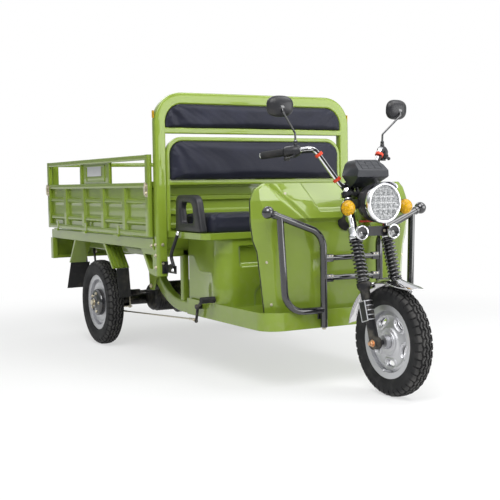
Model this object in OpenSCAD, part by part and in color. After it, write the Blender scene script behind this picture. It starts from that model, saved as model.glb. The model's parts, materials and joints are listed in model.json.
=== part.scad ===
// Electric cargo tricycle: one steered front wheel on a sprung fork, a bench seat over the
// battery box, and a drop-side cargo bed on leaf springs. Millimetres, +X forward, +Y left, +Z up.
// The origin is on the ground under the middle of the whole vehicle.
// Modules draw in the axle frame, whose X is counted forward from the rear axle.

/* [Wheels] */
// Distance between the front and rear axles
wheelbase = 2033; // [2010:1:2060]
// Outer diameter of the front tyre
front_tyre_d = 466; // [456:1:474]
// Section width of the front tyre
front_tyre_w = 82; // [70:1:90]
// Outer diameter of the rear tyres
rear_tyre_d = 484; // [470:1:500]
// Section width of the rear tyres
rear_tyre_w = 92; // [80:1:98]
// Diameter over the rim flanges
rim_d = 314; // [306:1:322]
// Width between the rim flanges
rim_w = 60; // [52:1:66]
// Distance between the middle planes of the rear tyres
rear_track = 1048; // [1040:1:1056]

/* [Steering] */
// Backward lean of the steering axis, in degrees
rake = 17; // [15:0.5:19]
// How far the axle sits ahead of the fork legs
leg_lead = 12; // [8:1:16]
// How far the fork legs sit ahead of the steering axis
yoke_offset = 30; // [26:1:36]
// Distance between the two fork legs
leg_spread = 170; // [170:1:182]
// Length of the fork from the axle to the top of its tubes
fork_l = 662; // [640:1:680]
// Diameter of the chromed upper tubes
tube_d = 33; // [28:1:35]
// Diameter of the lower legs
leg_d = 42; // [38:1:44]
// Outer diameter of the fork springs
spring_d = 60; // [56:1:62]
// Diameter of the spring wire
wire_d = 7; // [5:0.5:8]
// Turns in each fork spring
spring_turns = 12; // [8:1:15]
// Diameter of the head tube
head_d = 54; // [48:1:60]
// Diameter of the steering stem
stem_d = 30; // [24:1:36]
// Half width over the handlebar grips
bar_reach = 338; // [325:1:355]
// Diameter of the handlebar tube
bar_d = 22; // [20:1:25]

/* [Frame] */
// Width of the frame rails
rail_w = 40; // [30:1:46]
// Height of the frame rails
rail_h = 60; // [50:1:70]
// Height of the underside of the floor rails
low_rail_z = 265; // [255:1:275]
// Outer radius of the sweep from the floor rails up to the bed rails
sweep_r = 500; // [480:1:520]
// Diameter of the crash bar tube
crash_d = 32; // [28:1:36]

/* [Body] */
// Distance of the floor pan's front edge behind the front axle
pan_setback = 317; // [311:1:325]
// Sheet thickness of the floor pan and body panels
sheet = 3; // [2:0.5:4]
// Height of the seat pan's top face
seat_z = 680; // [665:1:700]
// Thickness of the seat cushion
cushion_h = 85; // [60:1:100]
// Height of the top of the front fairing
fairing_top = 905; // [890:1:915]
// Wall of the moulded fairing and seat box
wall = 4; // [3:0.5:5]

/* [Roll bar] */
// Height of the top of the roll bar
roll_top = 1363; // [1340:1:1400]
// Width of the roll bar tube seen from the front
roll_tube = 57; // [50:1:62]
// Depth of the roll bar tube
roll_depth = 40; // [34:1:44]
// Outer radius of the roll bar's top corners
roll_r = 150; // [130:1:170]

/* [Bed] */
// Distance of the bed's rear face behind the rear axle
bed_rear = 737; // [730:1:760]
// Distance of the bed's front end ahead of the rear axle
bed_front = 860; // [850:1:870]
// Height of the bed floor's top face
bed_floor_z = 643; // [630:1:655]
// Height of the side boards
board_h = 405; // [380:1:430]
// Thickness of the side boards
board_t = 22; // [18:1:26]
// Height of the open rail above the pressed panel
rail_gap_h = 138; // [120:1:150]
// Number of pressed bays along a side board
side_bays = 5; // [4:1:6]

/* [Hidden] */
$fn = 48;
seat_gap = 0.3;
joint_gap = 6;
front_r = front_tyre_d / 2;
rear_r = rear_tyre_d / 2;
wheel_y = rear_track / 2;
leg_y = leg_spread / 2;
axis_x = -(leg_lead + yoke_offset);
pan_front = wheelbase - pan_setback;
rail_y = rear_track / 2 - 124;
pan_w = 2 * (rail_y + 30);
bed_w = rear_track + 146;
roll_w = bed_w - 48;
seat_w = roll_w - 116;

hinge_r = 7;
hinge_out = 6;
hinge_z = bed_floor_z + 2;
rear_overhang = bed_rear + hinge_out + hinge_r;
rear_axle_x = (rear_overhang - wheelbase - front_r) / 2;
hinge_y = bed_w / 2 + hinge_out;
hinge_x = -(bed_rear + hinge_out);

bed_beam_h = 52;
bed_sheet = 3;
bed_beam_z = bed_floor_z - bed_sheet - bed_beam_h;
board_z = hinge_z + hinge_r + 1;
floor_half = bed_w / 2 - board_t - 5;

roll_back = bed_front + 5;
roll_front = roll_back + roll_depth;
roll_in = roll_w / 2 - roll_tube;
post_foot = bed_beam_z - 131;
pan_back = roll_front + 25;

pan_z = low_rail_z + rail_h;
pan_lip = pan_z + 20;
floor_top = pan_z + sheet;

head_low = fork_l - 160;
head_top = fork_l - 20;
yoke_low_h = 28;
yoke_top_h = 20;
spring_low = front_r + 29;
spring_top = fork_l - 210;
leg_top = spring_low - 8;

green = "olivedrab";
black = "#26262a";
chrome = "silver";

// Names of the pieces

// Helpers

function unit(v) = v / norm(v);

module placed() translate([rear_axle_x, 0, 0]) children();

module both_sides() {
    children();
    mirror([0, 1, 0]) children();
}

// The fork frame: origin at the front axle, +Z up along the raked steering axis
module fork_frame() translate([wheelbase, 0, front_r]) rotate([0, -rake, 0]) children();

function fork_point(p) = [
    wheelbase + p.x * cos(rake) - p.z * sin(rake), p.y, front_r + p.x * sin(rake) + p.z * cos(rake)];

// Turns a solid of revolution so that its axis lies along Y
module along_y() rotate([90, 0, 0]) children();

// Turns a solid of revolution so that its axis points along X
module along_x() rotate([0, 90, 0]) children();

// A prism of an X-Z outline from y0 to y1
module side_prism(y0, y1) translate([0, y1, 0]) rotate([90, 0, 0]) linear_extrude(y1 - y0) children();

// A prism of a Y-Z outline from x0 to x1
module front_prism(x0, x1) translate([x0, 0, 0]) rotate([90, 0, 90]) linear_extrude(x1 - x0) children();

module block(lo, hi) translate(lo) cube(hi - lo);

// A round bar between two points
module rod(p, q, r) {
    d = q - p;
    translate(p) rotate([0, acos(d.z / norm(d)), atan2(d.y, d.x)]) cylinder(h = norm(d), r = r);
}

function bend_angle(a, b, c) = acos(unit(b - a) * unit(c - b));

// Points of the rounded corner at b on the way from a to c
function corner_points(a, b, c, bend, steps) = let (u = unit(b - a), v = unit(c - b), turn = bend_angle(a, b, c),
        inward = unit(v - (u * v) * u), start = b - u * bend * tan(turn / 2), centre = start + inward * bend)
    [for (i = [0 : steps]) centre + bend * (u * sin(turn * i / steps) - inward * cos(turn * i / steps))];

function path_points(pts, bend, steps) = [pts[0],
    for (i = [1 : len(pts) - 2]) each corner_points(pts[i - 1], pts[i], pts[i + 1], bend, steps), pts[len(pts) - 1]];

// A bent round tube through the given points with corners of one radius. The seam lies towards ref.
module bent_tube(pts, r, bend, ref = [1, 0, 0], steps = 6, sides = 16) {
    path = path_points(pts, bend, steps);
    n = len(path);
    function heading(i) = i == 0 ? unit(path[1] - path[0]) : i == n - 1 ? unit(path[n - 1] - path[n - 2])
        : unit(unit(path[i + 1] - path[i]) + unit(path[i] - path[i - 1]));
    function ring(i) = let (t = heading(i), x = unit(ref - (ref * t) * t), y = cross(t, x))
        [for (j = [0 : sides - 1]) path[i] + r * (x * cos(j * 360 / sides) + y * sin(j * 360 / sides))];
    function at(i, j) = i * sides + j % sides;
    skin = [for (i = [0 : n - 2]) for (j = [0 : sides - 1])
        each [[at(i, j), at(i + 1, j), at(i + 1, j + 1)], [at(i, j), at(i + 1, j + 1), at(i, j + 1)]]];
    polyhedron([for (i = [0 : n - 1]) each ring(i)], concat(skin, [[for (j = [0 : sides - 1]) at(0, j)]],
        [[for (j = [sides - 1 : -1 : 0]) at(n - 1, j)]]));
}

// A rectangle from [x0, y0] to [x1, y1] with rounded corners, each radius in turn:
// low left, low right, high right, high left
module round_rect(lo, hi, radii) {
    corners = [[lo.x, lo.y, 1, 1], [hi.x, lo.y, -1, 1], [hi.x, hi.y, -1, -1], [lo.x, hi.y, 1, -1]];
    difference() {
        translate(lo) square(hi - lo);
        for (i = [0 : 3]) if (radii[i] > 0) {
            c = corners[i];
            r = radii[i];
            difference() {
                translate([c[0] + (c[2] < 0 ? -r : -1), c[1] + (c[3] < 0 ? -r : -1)]) square(r + 1);
                translate([c[0] + c[2] * r, c[1] + c[3] * r]) circle(r);
            }
        }
    }
}

// A closed sheet from a grid of front points, thickened backward by the wall
module sheet_skin(grid, back) {
    n = len(grid);
    m = len(grid[0]);
    points = concat([for (row = grid) for (p = row) p], [for (row = grid) for (p = row) p + back]);
    function f(i, j) = i * m + j;
    function b(i, j) = n * m + i * m + j;
    function quad(p, q, r, s) = [[p, q, r], [p, r, s]];
    front = [for (i = [0 : n - 2]) for (j = [0 : m - 2])
        each quad(f(i, j), f(i + 1, j), f(i + 1, j + 1), f(i, j + 1))];
    rear = [for (i = [0 : n - 2]) for (j = [0 : m - 2])
        each [[b(i, j), b(i + 1, j + 1), b(i + 1, j)], [b(i, j), b(i, j + 1), b(i + 1, j + 1)]]];
    low = [for (j = [0 : m - 2]) each quad(f(0, j), f(0, j + 1), b(0, j + 1), b(0, j))];
    high = [for (j = [0 : m - 2]) each quad(f(n - 1, j + 1), f(n - 1, j), b(n - 1, j), b(n - 1, j + 1))];
    right = [for (i = [0 : n - 2]) each quad(f(i + 1, 0), f(i, 0), b(i, 0), b(i + 1, 0))];
    left = [for (i = [0 : n - 2])
        each quad(f(i, m - 1), f(i + 1, m - 1), b(i + 1, m - 1), b(i, m - 1))];
    polyhedron(points, concat(front, rear, low, high, right, left));
}

// Chassis

sweep_x = bed_front;
sweep_z = low_rail_z + sweep_r;
sweep_angle = 64;
rail_front = pan_front - sheet - seat_gap;
rail_back = bed_rear - 24;
upright_x = roll_back - 37;
bed_rail_front = sweep_x - 390;

module frame_rail() {
    y0 = rail_y - rail_w / 2;
    block([-rail_back, y0, bed_beam_z - rail_h], [bed_rail_front, y0 + rail_w, bed_beam_z]);
    block([sweep_x, y0, low_rail_z], [rail_front - 90, y0 + rail_w, low_rail_z + rail_h]);
    translate([sweep_x, rail_y, sweep_z]) rotate([90, 0, 0]) rotate([0, 0, 270 - sweep_angle])
        rotate_extrude(angle = sweep_angle + 2, $fn = 96)
            translate([sweep_r - rail_h + 1, -rail_w / 2 + 1]) square([rail_h - 2, rail_w - 2]);
    block([upright_x, y0 + 3, low_rail_z + rail_h / 2], [roll_back - seat_gap, y0 + rail_w - 3, bed_beam_z - 5]);
    spring_hangers();
}

leaf_w = 50;
eye_r = 17;
pin_r = 8;
pin_gap = 0.05;
leaf_reach = 500;
leaf_arc_r = 2600;
leaf_t = 8;
leaf_count = 4;
leaf_z = rear_r + 30 + 6 + leaf_count * leaf_t;
eye_z = leaf_z + leaf_arc_r - sqrt(pow(leaf_arc_r, 2) - pow(leaf_reach, 2)) + eye_r - leaf_t * 0.6;
shackle_x = -leaf_reach - 30;
shackle_z = bed_beam_z - rail_h - 26;

// Ears under the rails that hold the front spring eye and the shackle
module spring_hangers() {
    ear = 6;
    for (side = [-1, 1]) {
        y0 = rail_y + side * (leaf_w / 2 + seat_gap + ear / 2) - ear / 2;
        side_prism(y0, y0 + ear) polygon([[leaf_reach - 24, eye_z - 22], [leaf_reach + 24, eye_z - 22],
            [leaf_reach + 80, eye_z + 70], [leaf_reach - 40, eye_z + 110]]);
    }
    block([leaf_reach - 20, rail_y - leaf_w / 2 - 6, eye_z + 62], [leaf_reach + 50, rail_y + leaf_w / 2 + 6, eye_z + 76]);
    rod([leaf_reach, rail_y - leaf_w / 2 - 4, eye_z], [leaf_reach, rail_y + leaf_w / 2 + 4, eye_z], pin_r);
    block([shackle_x - 18, rail_y - 12, shackle_z - 18], [shackle_x + 18, rail_y + 12, bed_beam_z - rail_h + 5]);
    rod([shackle_x, rail_y - 34, shackle_z], [shackle_x, rail_y + 34, shackle_z], pin_r);
}

// Top of the head tube, which the lamps, the bars and the neck are placed from
crown = fork_point([axis_x, 0, head_top]);
neck_top = fork_point([axis_x, 0, (head_low + head_top) / 2]);
neck_corner = [crown.x - 150, 0, fairing_top - 183];
neck_foot = [pan_front - 104, 0, low_rail_z + rail_h / 2];
neck_r = 22;

module main_frame() color(green) difference() {
    union() {
        both_sides() frame_rail();
        for (x = [-rail_back, sweep_x - 590])
            block([x, -rail_y, bed_beam_z - 50], [x + 40, rail_y, bed_beam_z - 10]);
        for (x = [roll_front + 35, box_front - 20, rail_front - 130])
            block([x, -rail_y, low_rail_z + 10], [x + 40, rail_y, low_rail_z + 50]);
        block([upright_x, -roll_in - 30, bed_beam_z - 40], [roll_back - seat_gap, roll_in + 30, bed_beam_z]);
        rod(neck_corner, neck_top, neck_r);
        rod(neck_corner, neck_foot, neck_r);
        translate(neck_corner) sphere(neck_r + 2);
        fork_frame() translate([axis_x, 0, head_low]) cylinder(h = head_top - head_low, d = head_d);
    }
    fork_frame() translate([axis_x, 0, head_low - 1])
        cylinder(h = head_top - head_low + 2, d = stem_d + 0.6);
}

module floor_outline(inset) round_rect([pan_back, -pan_w / 2 + inset], [pan_front - inset, pan_w / 2 - inset],
    [0, 90 - inset, 90 - inset, 0]);

module floor_pan() color(green) {
    translate([0, 0, pan_z]) linear_extrude(sheet) difference() {
        floor_outline(1);
        translate([neck_foot.x, 0]) circle(neck_r + 10);
    }
    translate([0, 0, low_rail_z]) linear_extrude(pan_lip - low_rail_z) difference() {
        floor_outline(0);
        floor_outline(sheet);
        translate([pan_back - 10, -pan_w / 2 + sheet]) square([20, pan_w - 2 * sheet]);
    }
}

// Fairing sections from the floor to the top edge. Columns: height, then for the edge, the shoulder
// and the crease the share of the half width and the distance behind the pan's front edge, and that
// distance for the middle.
fairing_half = pan_w / 2 - 2;
fairing_sections = [
    [floor_top + seat_gap, 0.868, 109, 0.783, 80, 0.350, 48, 48],
    [fairing_top - 435, 0.898, 114, 0.805, 76, 0.385, 38, 38],
    [fairing_top - 299, 0.932, 118, 0.836, 72, 0.444, 28, 28],
    [fairing_top - 250, 0.975, 122, 0.859, 72, 0.495, 24, 26],
    [fairing_top - 170, 0.998, 124, 0.899, 72, 0.556, 20, 20],
    [fairing_top - 153, 1.000, 124, 0.901, 72, 0.560, 4, 2],
    [fairing_top - 75, 0.998, 128, 0.929, 94, 0.748, 52, 40],
    [fairing_top - 25, 0.948, 126, 0.920, 112, 0.818, 90, 76],
    [fairing_top, 0.873, 116, 0.850, 110, 0.805, 104, 94]];

function fairing_row(s) = [for (side = [-1, 1]) for (i = side < 0 ? [1, 3, 5] : [0, 5, 3, 1])
    i == 0 ? [pan_front - s[7], 0, s[0]] : [pan_front - s[i + 1], side * s[i] * fairing_half, s[0]]];

module front_fairing() color(green) difference() {
    sheet_skin([for (s = fairing_sections) fairing_row(s)], [-wall, 0, 0]);
    slope = (neck_top.z - neck_corner.z) / (neck_top.x - neck_corner.x);
    hole_z = neck_corner.z + (pan_front - 15 - neck_corner.x) * slope;
    block([pan_front - 116, -30, hole_z - 50], [pan_front + 44, 30, hole_z + 50]);
}

crash_x = pan_front + 24;
crash_y = 151;
crash_foot = low_rail_z + 7;
crash_r = crash_d / 2;
ball = [pan_front - 5, pan_w / 2 - 17, fairing_top - 123];
crash_corner = [crash_x, crash_y, ball.z - 100];

module crash_side() {
    bent_tube([ball, crash_corner, [crash_x, crash_y, crash_foot]], crash_r, 90);
    translate(ball) sphere(d = crash_d + 24);
    inner = ball + unit(crash_corner - ball) * 60;
    bent_tube([inner, [crash_x - 14, ball.y - 75, pan_lip + 2], [crash_x, crash_y, pan_lip + 2]], crash_r, 90);
    block([pan_front + seat_gap, crash_y - 20, low_rail_z + 40], [pan_front + 6, crash_y + 20, pan_lip]);
    block([pan_front + 5, crash_y - 8, low_rail_z + 50], [crash_x, crash_y + 8, pan_lip]);
}

module crash_bar() color(black) {
    both_sides() crash_side();
    for (z = [crash_corner.z - 195, crash_corner.z - 107]) rod([crash_x, -crash_y, z], [crash_x, crash_y, z], crash_r - 3);
}

// Seat and cab

box_rear = pan_back;
seat_front = roll_front + 395;
box_front = seat_front - 10;
box_half = pan_w / 2 - 15;
box_top = seat_z - sheet;

module box_outline(inset) round_rect([box_rear + inset, -box_half + inset], [box_front - inset, box_half - inset],
    [0, 80 - inset, 80 - inset, 0]);

pocket = [[-170, 500], [170, 610]];
pocket_depth = 30;

module seat_box() color(green) difference() {
    union() {
        translate([0, 0, floor_top]) linear_extrude(box_top - floor_top) difference() {
            box_outline(0);
            box_outline(wall);
        }
        front_prism(box_front - pocket_depth - wall, box_front - 1)
            round_rect(pocket[0] - [wall, wall], pocket[1] + [wall, wall], [24, 24, 24, 24]);
    }
    front_prism(box_front - pocket_depth, box_front + 1) round_rect(pocket[0], pocket[1], [20, 20, 20, 20]);
}

module battery_pack() color("#303438")
    block([box_rear + 40, 85 - box_half, floor_top], [box_front - pocket_depth - 30, box_half - 85, floor_top + 215]);

module seat_outline(inset) round_rect([roll_front + seat_gap + inset, -seat_w / 2 + inset],
    [seat_front - inset, seat_w / 2 - inset], [0, 40 - inset, 40 - inset, 0]);

module seat_pan() color(green) {
    translate([0, 0, seat_z - sheet]) linear_extrude(sheet) seat_outline(0);
    translate([0, 0, seat_z - 30]) linear_extrude(30) difference() {
        seat_outline(0);
        seat_outline(sheet);
    }
}

arm_y = seat_w / 2 - 27;
arm_t = 40;

module seat_cushion() color(black) translate([0, 0, seat_z]) linear_extrude(cushion_h)
    round_rect([roll_front + 32, -arm_y + arm_t / 2 + 12], [seat_front - 42, arm_y - arm_t / 2 - 12], [40, 40, 40, 40]);

// Moulded grab loop. Columns: distance ahead of the roll bar, height above the seat pan, corner radius
arm_outer = [[74, 8, 8], [112, 138, 40], [258, 120, 58], [342, 8, 8]];
arm_inner = [[160, 62, 20], [158, 114, 30], [222, 106, 34], [240, 64, 22]];

module rounded_loop(table) hull() for (p = table)
    translate([roll_front + p[0], seat_z + p[1]]) circle(p[2], $fn = 32);

module armrests() color(black) both_sides() side_prism(arm_y - arm_t / 2, arm_y + arm_t / 2) difference() {
    intersection() {
        rounded_loop(arm_outer);
        translate([roll_front, seat_z]) square([500, 300]);
    }
    rounded_loop(arm_inner);
}

module roll_arch(half, top, r) round_rect([-half, 0], [half, top], [0, 0, r, r]);

cross_z = roll_top - 203;
cross_h = 29;

module roll_bar() color(green) {
    front_prism(roll_back, roll_front) {
        difference() {
            roll_arch(roll_w / 2, roll_top, roll_r);
            roll_arch(roll_in, roll_top - roll_tube, roll_r - roll_tube);
            translate([-roll_w, -1]) square([2 * roll_w, post_foot + 1]);
        }
        translate([-roll_in - 5, cross_z]) square([2 * roll_in + 10, cross_h]);
    }
    both_sides() side_prism(roll_w / 2 - 6, roll_w / 2) difference() {
        polygon([[roll_back - 166, bed_beam_z - seat_gap], [roll_back + 5, bed_beam_z - seat_gap],
            [roll_back + 5, post_foot], [roll_back - 66, post_foot + 10]]);
        polygon([[roll_back - 122, bed_beam_z - 26], [roll_back - 20, bed_beam_z - 26],
            [roll_back - 20, post_foot + 32], [roll_back - 62, post_foot + 34]]);
    }
}

back_half = roll_in - seat_gap;
back_tube = 20;
back_top = roll_top - 219;
back_rail_z = seat_z + 225;
back_rail_h = 26;
back_r = 90;

module back_frame() color(green) front_prism(roll_front - 30, roll_front) {
    difference() {
        roll_arch(back_half, back_top, back_r);
        roll_arch(back_half - back_tube, back_top - back_tube, back_r - back_tube);
        translate([-back_half - 1, -1]) square([2 * back_half + 2, seat_z + seat_gap + 1]);
    }
    translate([-back_half + 5, back_rail_z]) square([2 * back_half - 10, back_rail_h]);
}

module back_cushion_low() color(black) front_prism(roll_front - 28, roll_front + 26)
    round_rect([-back_half + back_tube + seat_gap, back_rail_z + back_rail_h + seat_gap],
        [back_half - back_tube - seat_gap, back_top - back_tube - seat_gap],
        [10, 10, back_r - back_tube, back_r - back_tube]);

module back_cushion_high() color(black) front_prism(roll_front - 38, roll_front + 14)
    round_rect([-roll_in + seat_gap, cross_z + cross_h + seat_gap],
        [roll_in - seat_gap, roll_top - roll_tube - seat_gap],
        [10, 10, roll_r - roll_tube, roll_r - roll_tube]);

// Cargo bed

head_x = bed_front - 22;
gate_t = 24;
gate_front = -bed_rear + gate_t;
side_hinges = [-560, -60, 440];
gate_hinges = [-420, 0, 420];
knuckle_l = 30;
knuckle_gap = 1;
hinge_pin_r = 3;

module bed_floor() color(green) {
    block([gate_front + 3, -floor_half, bed_floor_z - bed_sheet], [head_x - seat_gap, floor_half, bed_floor_z]);
    beam_y = floor_half + 8;
    both_sides() block([-bed_rear + 8, beam_y - 35, bed_beam_z], [roll_back - seat_gap, beam_y, bed_beam_z + bed_beam_h]);
    for (x = [-bed_rear + 8, -380, -20, 340, roll_back - 40 - seat_gap])
        block([x, -beam_y + 5, bed_beam_z], [x + 40, beam_y - 5, bed_beam_z + bed_beam_h]);
    both_sides() for (x = side_hinges) fixed_knuckle([x, hinge_y, hinge_z], 0, hinge_y - beam_y);
    for (y = gate_hinges) fixed_knuckle([hinge_x, y, hinge_z], 90, hinge_out + 10);
}

// Half hinge on the bed: a barrel, its pin, and the strap back to the beam
module fixed_knuckle(at, turn, reach) translate(at) rotate([0, 0, turn]) {
    rotate([0, 90, 0]) translate([0, 0, -knuckle_l]) cylinder(h = knuckle_l, r = hinge_r);
    rotate([0, 90, 0]) translate([0, 0, -knuckle_l]) cylinder(h = 2 * knuckle_l, r = hinge_pin_r);
    block([-knuckle_l, -reach - 1, -hinge_r], [0, 0, -hinge_r + 4]);
}

// Half hinge on a board: a bored barrel and the strap up to the board
module moving_knuckle(at, turn) translate(at) rotate([0, 0, turn]) {
    difference() {
        union() {
            rotate([0, 90, 0]) translate([0, 0, knuckle_gap]) cylinder(h = knuckle_l, r = hinge_r);
            block([knuckle_gap, -hinge_out - 3, 0], [knuckle_gap + knuckle_l, 2 - hinge_out, board_z - hinge_z + 20]);
        }
        rotate([0, 90, 0]) cylinder(h = 2 * knuckle_l, r = hinge_pin_r + 0.05);
    }
}

module headboard() color(green) {
    top = 925;
    block([head_x, -floor_half, bed_floor_z - bed_sheet], [head_x + sheet, floor_half, top]);
    block([head_x, -floor_half, top - 30], [bed_front + 5 - seat_gap, floor_half, top]);
    for (z = [bed_floor_z + 40, bed_floor_z + 110, bed_floor_z + 180])
        side_prism(-floor_half + 60, floor_half - 60)
            polygon([[head_x, z], [head_x + 18, z + 8], [head_x + 18, z + 26], [head_x, z + 34]]);
}

// A drop side drawn along local X, outer face at y 0, body towards -y, bottom at z 0
sign_l = 470;

module drop_board(length, bays, sign_bay) {
    edge = 40;
    rail = 26;
    panel_top = board_h - rail_gap_h - rail;
    panel_t = 3;
    bay = (length - edge) / bays;
    back = -board_t;
    block([0, back, 0], [length, back + panel_t, panel_top + rail]);
    block([0, back, 0], [length, 0, rail]);
    block([0, back, panel_top], [length, 0, panel_top + rail]);
    block([0, back, board_h - rail], [length, 0, board_h]);
    for (x = [0, length - edge]) block([x, back, 0], [x + edge, 0, board_h]);
    for (i = [1 : bays - 1]) translate([edge / 2 + i * bay, 0, 0]) rotate([0, 0, 0])
        linear_extrude(panel_top + rail / 2)
            polygon([[-28, back + panel_t / 2], [-18, -1], [18, -1], [28, back + panel_t / 2]]);
    for (z = [panel_top * 0.28, panel_top * 0.72]) translate([edge / 2, 0, z]) rotate([90, 0, 90])
        linear_extrude(length - edge)
            polygon([[back + 1, -18], [back + 11, -7], [back + 11, 7], [back + 1, 18]]);
    if (sign_bay > 0) {
        x0 = length * sign_bay;
        block([x0, back, panel_top], [x0 + sign_l, back + 14, board_h - 5]);
    }
}

side_l = bed_rear + bed_front;

module side_board(side) color(green) {
    mirror([0, side > 0 ? 0 : 1, 0]) {
        translate([-bed_rear, bed_w / 2, board_z]) drop_board(side_l, side_bays, 0.373);
        for (x = side_hinges) moving_knuckle([x, hinge_y, hinge_z], 0);
    }
}

module tailgate() color(green) {
    width = 2 * floor_half - 4;
    translate([-bed_rear, -width / 2, board_z]) rotate([0, 0, 90]) drop_board(width, 4, 0);
    for (y = gate_hinges) moving_knuckle([hinge_x, y, hinge_z], 90);
}

tail_x = -bed_rear + 18;
tail_half = bed_w / 2 - 7;

module tail_panel() color(green) {
    block([tail_x, -tail_half, post_foot], [tail_x + sheet, tail_half, bed_beam_z]);
    for (y = [-tail_half, tail_half - 30]) block([tail_x, y, post_foot], [tail_x + 40, y + 30, bed_beam_z]);
    block([tail_x, 30 - tail_half, post_foot], [tail_x + 24, tail_half - 30, post_foot + 20]);
}

module tail_lamps() color("firebrick") both_sides()
    front_prism(tail_x - 14, tail_x) round_rect([tail_half - 190, post_foot + 33], [tail_half - 70, post_foot + 103], [12, 12, 12, 12]);

// Rear axle and springs

hub_in = wheel_y - rim_w / 2 - 40;
stub_r = 15;

module rear_axle() color(black) translate([0, 0, rear_r]) {
    along_y() translate([0, 0, -hub_in + 10]) cylinder(h = 2 * hub_in - 20, r = 30);
    along_y() rotate_extrude($fn = 64)
        polygon([[0, -90], [55, -90], [95, -55], [95, 55], [55, 90], [0, 90]]);
    side_prism(-55, 55) polygon([[0, 95], [0, -60], [motor_x - 20, motor_dz - 60],
        [motor_x + 20, motor_dz + 60], [motor_x - 20, motor_dz + 75]]);
    both_sides() {
        along_y() translate([0, 0, hub_in - 12]) cylinder(h = 12 - seat_gap, r = 92);
        along_y() translate([0, 0, hub_in - 12]) cylinder(h = rim_w / 2 + 75, r = stub_r);
        block([-45, rail_y - leaf_w / 2, 20], [45, rail_y + leaf_w / 2, 36]);
        block([brake_arm.x - 8, -brake_arm.y - 8, -66], [brake_arm.x + 8, hub_in - 11, -36]);
    }
}

motor_x = 170;
motor_dz = 30;
motor_end = rail_y - 100;

module drive_motor() color("#3a3d40") translate([motor_x, 0, rear_r + motor_dz]) along_y()
    rotate_extrude($fn = 64) polygon([[0, 55.3], [70, 55.3], [78, 66], [78, motor_end - 15], [66, motor_end], [0, motor_end]]);

module leaf(index) {
    reach = leaf_reach - index * 105;
    lap = index > 0 ? 0.3 : 0;
    outer = leaf_arc_r + index * leaf_t;
    sweep = 2 * asin(reach / outer);
    translate([0, rail_y, leaf_z + leaf_arc_r]) rotate([90, 0, 0]) rotate([0, 0, 270 - sweep / 2])
        rotate_extrude(angle = sweep, $fn = 1440)
            translate([outer - lap, -leaf_w / 2 + index]) square([leaf_t + lap, leaf_w - 2 * index]);
}

module leaf_springs() color(black) both_sides() difference() {
    union() {
        for (i = [0 : leaf_count - 1]) leaf(i);
        for (x = [-leaf_reach, leaf_reach])
            rod([x, rail_y - leaf_w / 2 + 1, eye_z], [x, rail_y + leaf_w / 2 - 1, eye_z], eye_r);
        block([-40, rail_y - leaf_w / 2 - 4, leaf_z - leaf_count * leaf_t + 2],
            [40, rail_y + leaf_w / 2 + 4, leaf_z + 8]);
    }
    for (x = [-leaf_reach, leaf_reach])
        rod([x, rail_y - leaf_w, eye_z], [x, rail_y + leaf_w, eye_z], pin_r + pin_gap);
}

// A pair of links and a pin from the rear spring eye up to the rail
module spring_shackles() color(black) both_sides() difference() {
    union() {
        for (side = [-1, 1]) {
            y0 = rail_y + side * (leaf_w / 2 + seat_gap + 3) - 3;
            side_prism(y0, y0 + 6) {
                translate([-leaf_reach, eye_z]) circle(18);
                translate([shackle_x, shackle_z]) circle(18);
                polygon([[-leaf_reach + 12, eye_z], [shackle_x + 12, shackle_z],
                    [shackle_x - 12, shackle_z], [-leaf_reach - 12, eye_z]]);
            }
        }
        rod([-leaf_reach, rail_y - leaf_w / 2 - 5, eye_z], [-leaf_reach, rail_y + leaf_w / 2 + 5, eye_z], pin_r);
    }
    rod([shackle_x, rail_y - leaf_w, shackle_z], [shackle_x, rail_y + leaf_w, shackle_z], pin_r + pin_gap);
}

splash_out = bed_w / 2 - 12;
splash_in = splash_out - 100;

// Fluted guard plate ahead of or behind a rear tyre, hung from the bed beam
module splash_plate(top, foot) {
    side_prism(splash_in, splash_out) polygon([top, top + [sign(foot.x) * 5, 0], foot + [sign(foot.x) * 5, 0], foot]);
    for (i = [0 : 3]) {
        y = splash_in + 8 + i * 22;
        side_prism(y, y + 12) polygon([top, top + [sign(foot.x) * 12, 0], foot + [sign(foot.x) * 12, 6], foot + [0, 6]]);
    }
    side_prism(splash_out - 5, splash_out) polygon([top, top + [sign(foot.x) * 26, 0], foot + [sign(foot.x) * 16, 0], foot]);
}

front_splash = [[192, bed_beam_z], [318, post_foot + 1]];
rear_splash = [[-262, bed_beam_z], [-372, post_foot - 9]];

module splash_plates() color(green) both_sides() {
    splash_plate(front_splash[0], front_splash[1]);
    splash_plate(rear_splash[0], rear_splash[1]);
}

module mud_flaps() color(black) both_sides() {
    x = rear_splash[1].x;
    z = rear_splash[1].y - 0.5;
    side_prism(splash_in - 28, splash_out - 8) polygon([[x - 14, z], [x - 1, z], [x - 88, z - 162.5], [x - 95, z - 162.5]]);
    f = front_splash[1].x;
    h = front_splash[1].y - 0.5;
    side_prism(splash_in + 4, splash_out - 25) polygon([[f + 2, h], [f + 8, h], [f + 34, h - 157.5], [f + 28, h - 157.5]]);
}

// Foot and hand brake on the right side

pedal_pivot = [box_rear + 166, -(pan_w / 2 + 22), low_rail_z + 53];
pedal_drop = [-20, 0, -72];
pedal_arm_r = 7;
brake_arm = [52, -(hub_in - 18), rear_r - 52];

module brake_pedal() color(black) {
    p = pedal_pivot;
    rod([p.x, -pan_w / 2 - seat_gap, p.z], p - [0, 12, 0], 11);
    bent_tube([p, p + [60, -4, 34], p + [150, -8, 48]], 8, 40, [0, 1, 0]);
    rod(p + [150, 14, 48], p + [150, -58, 48], 15);
    rod(p, p + pedal_drop, pedal_arm_r);
}

// The rod from the pedal's foot back to the brake arm on the axle
module brake_rod() color(chrome) {
    start = pedal_pivot + pedal_drop * 0.9 - [pedal_arm_r + 1.6, 0, 0];
    rod(start, [brake_arm.x + 8 + seat_gap, brake_arm.y, brake_arm.z], 4);
}

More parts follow.
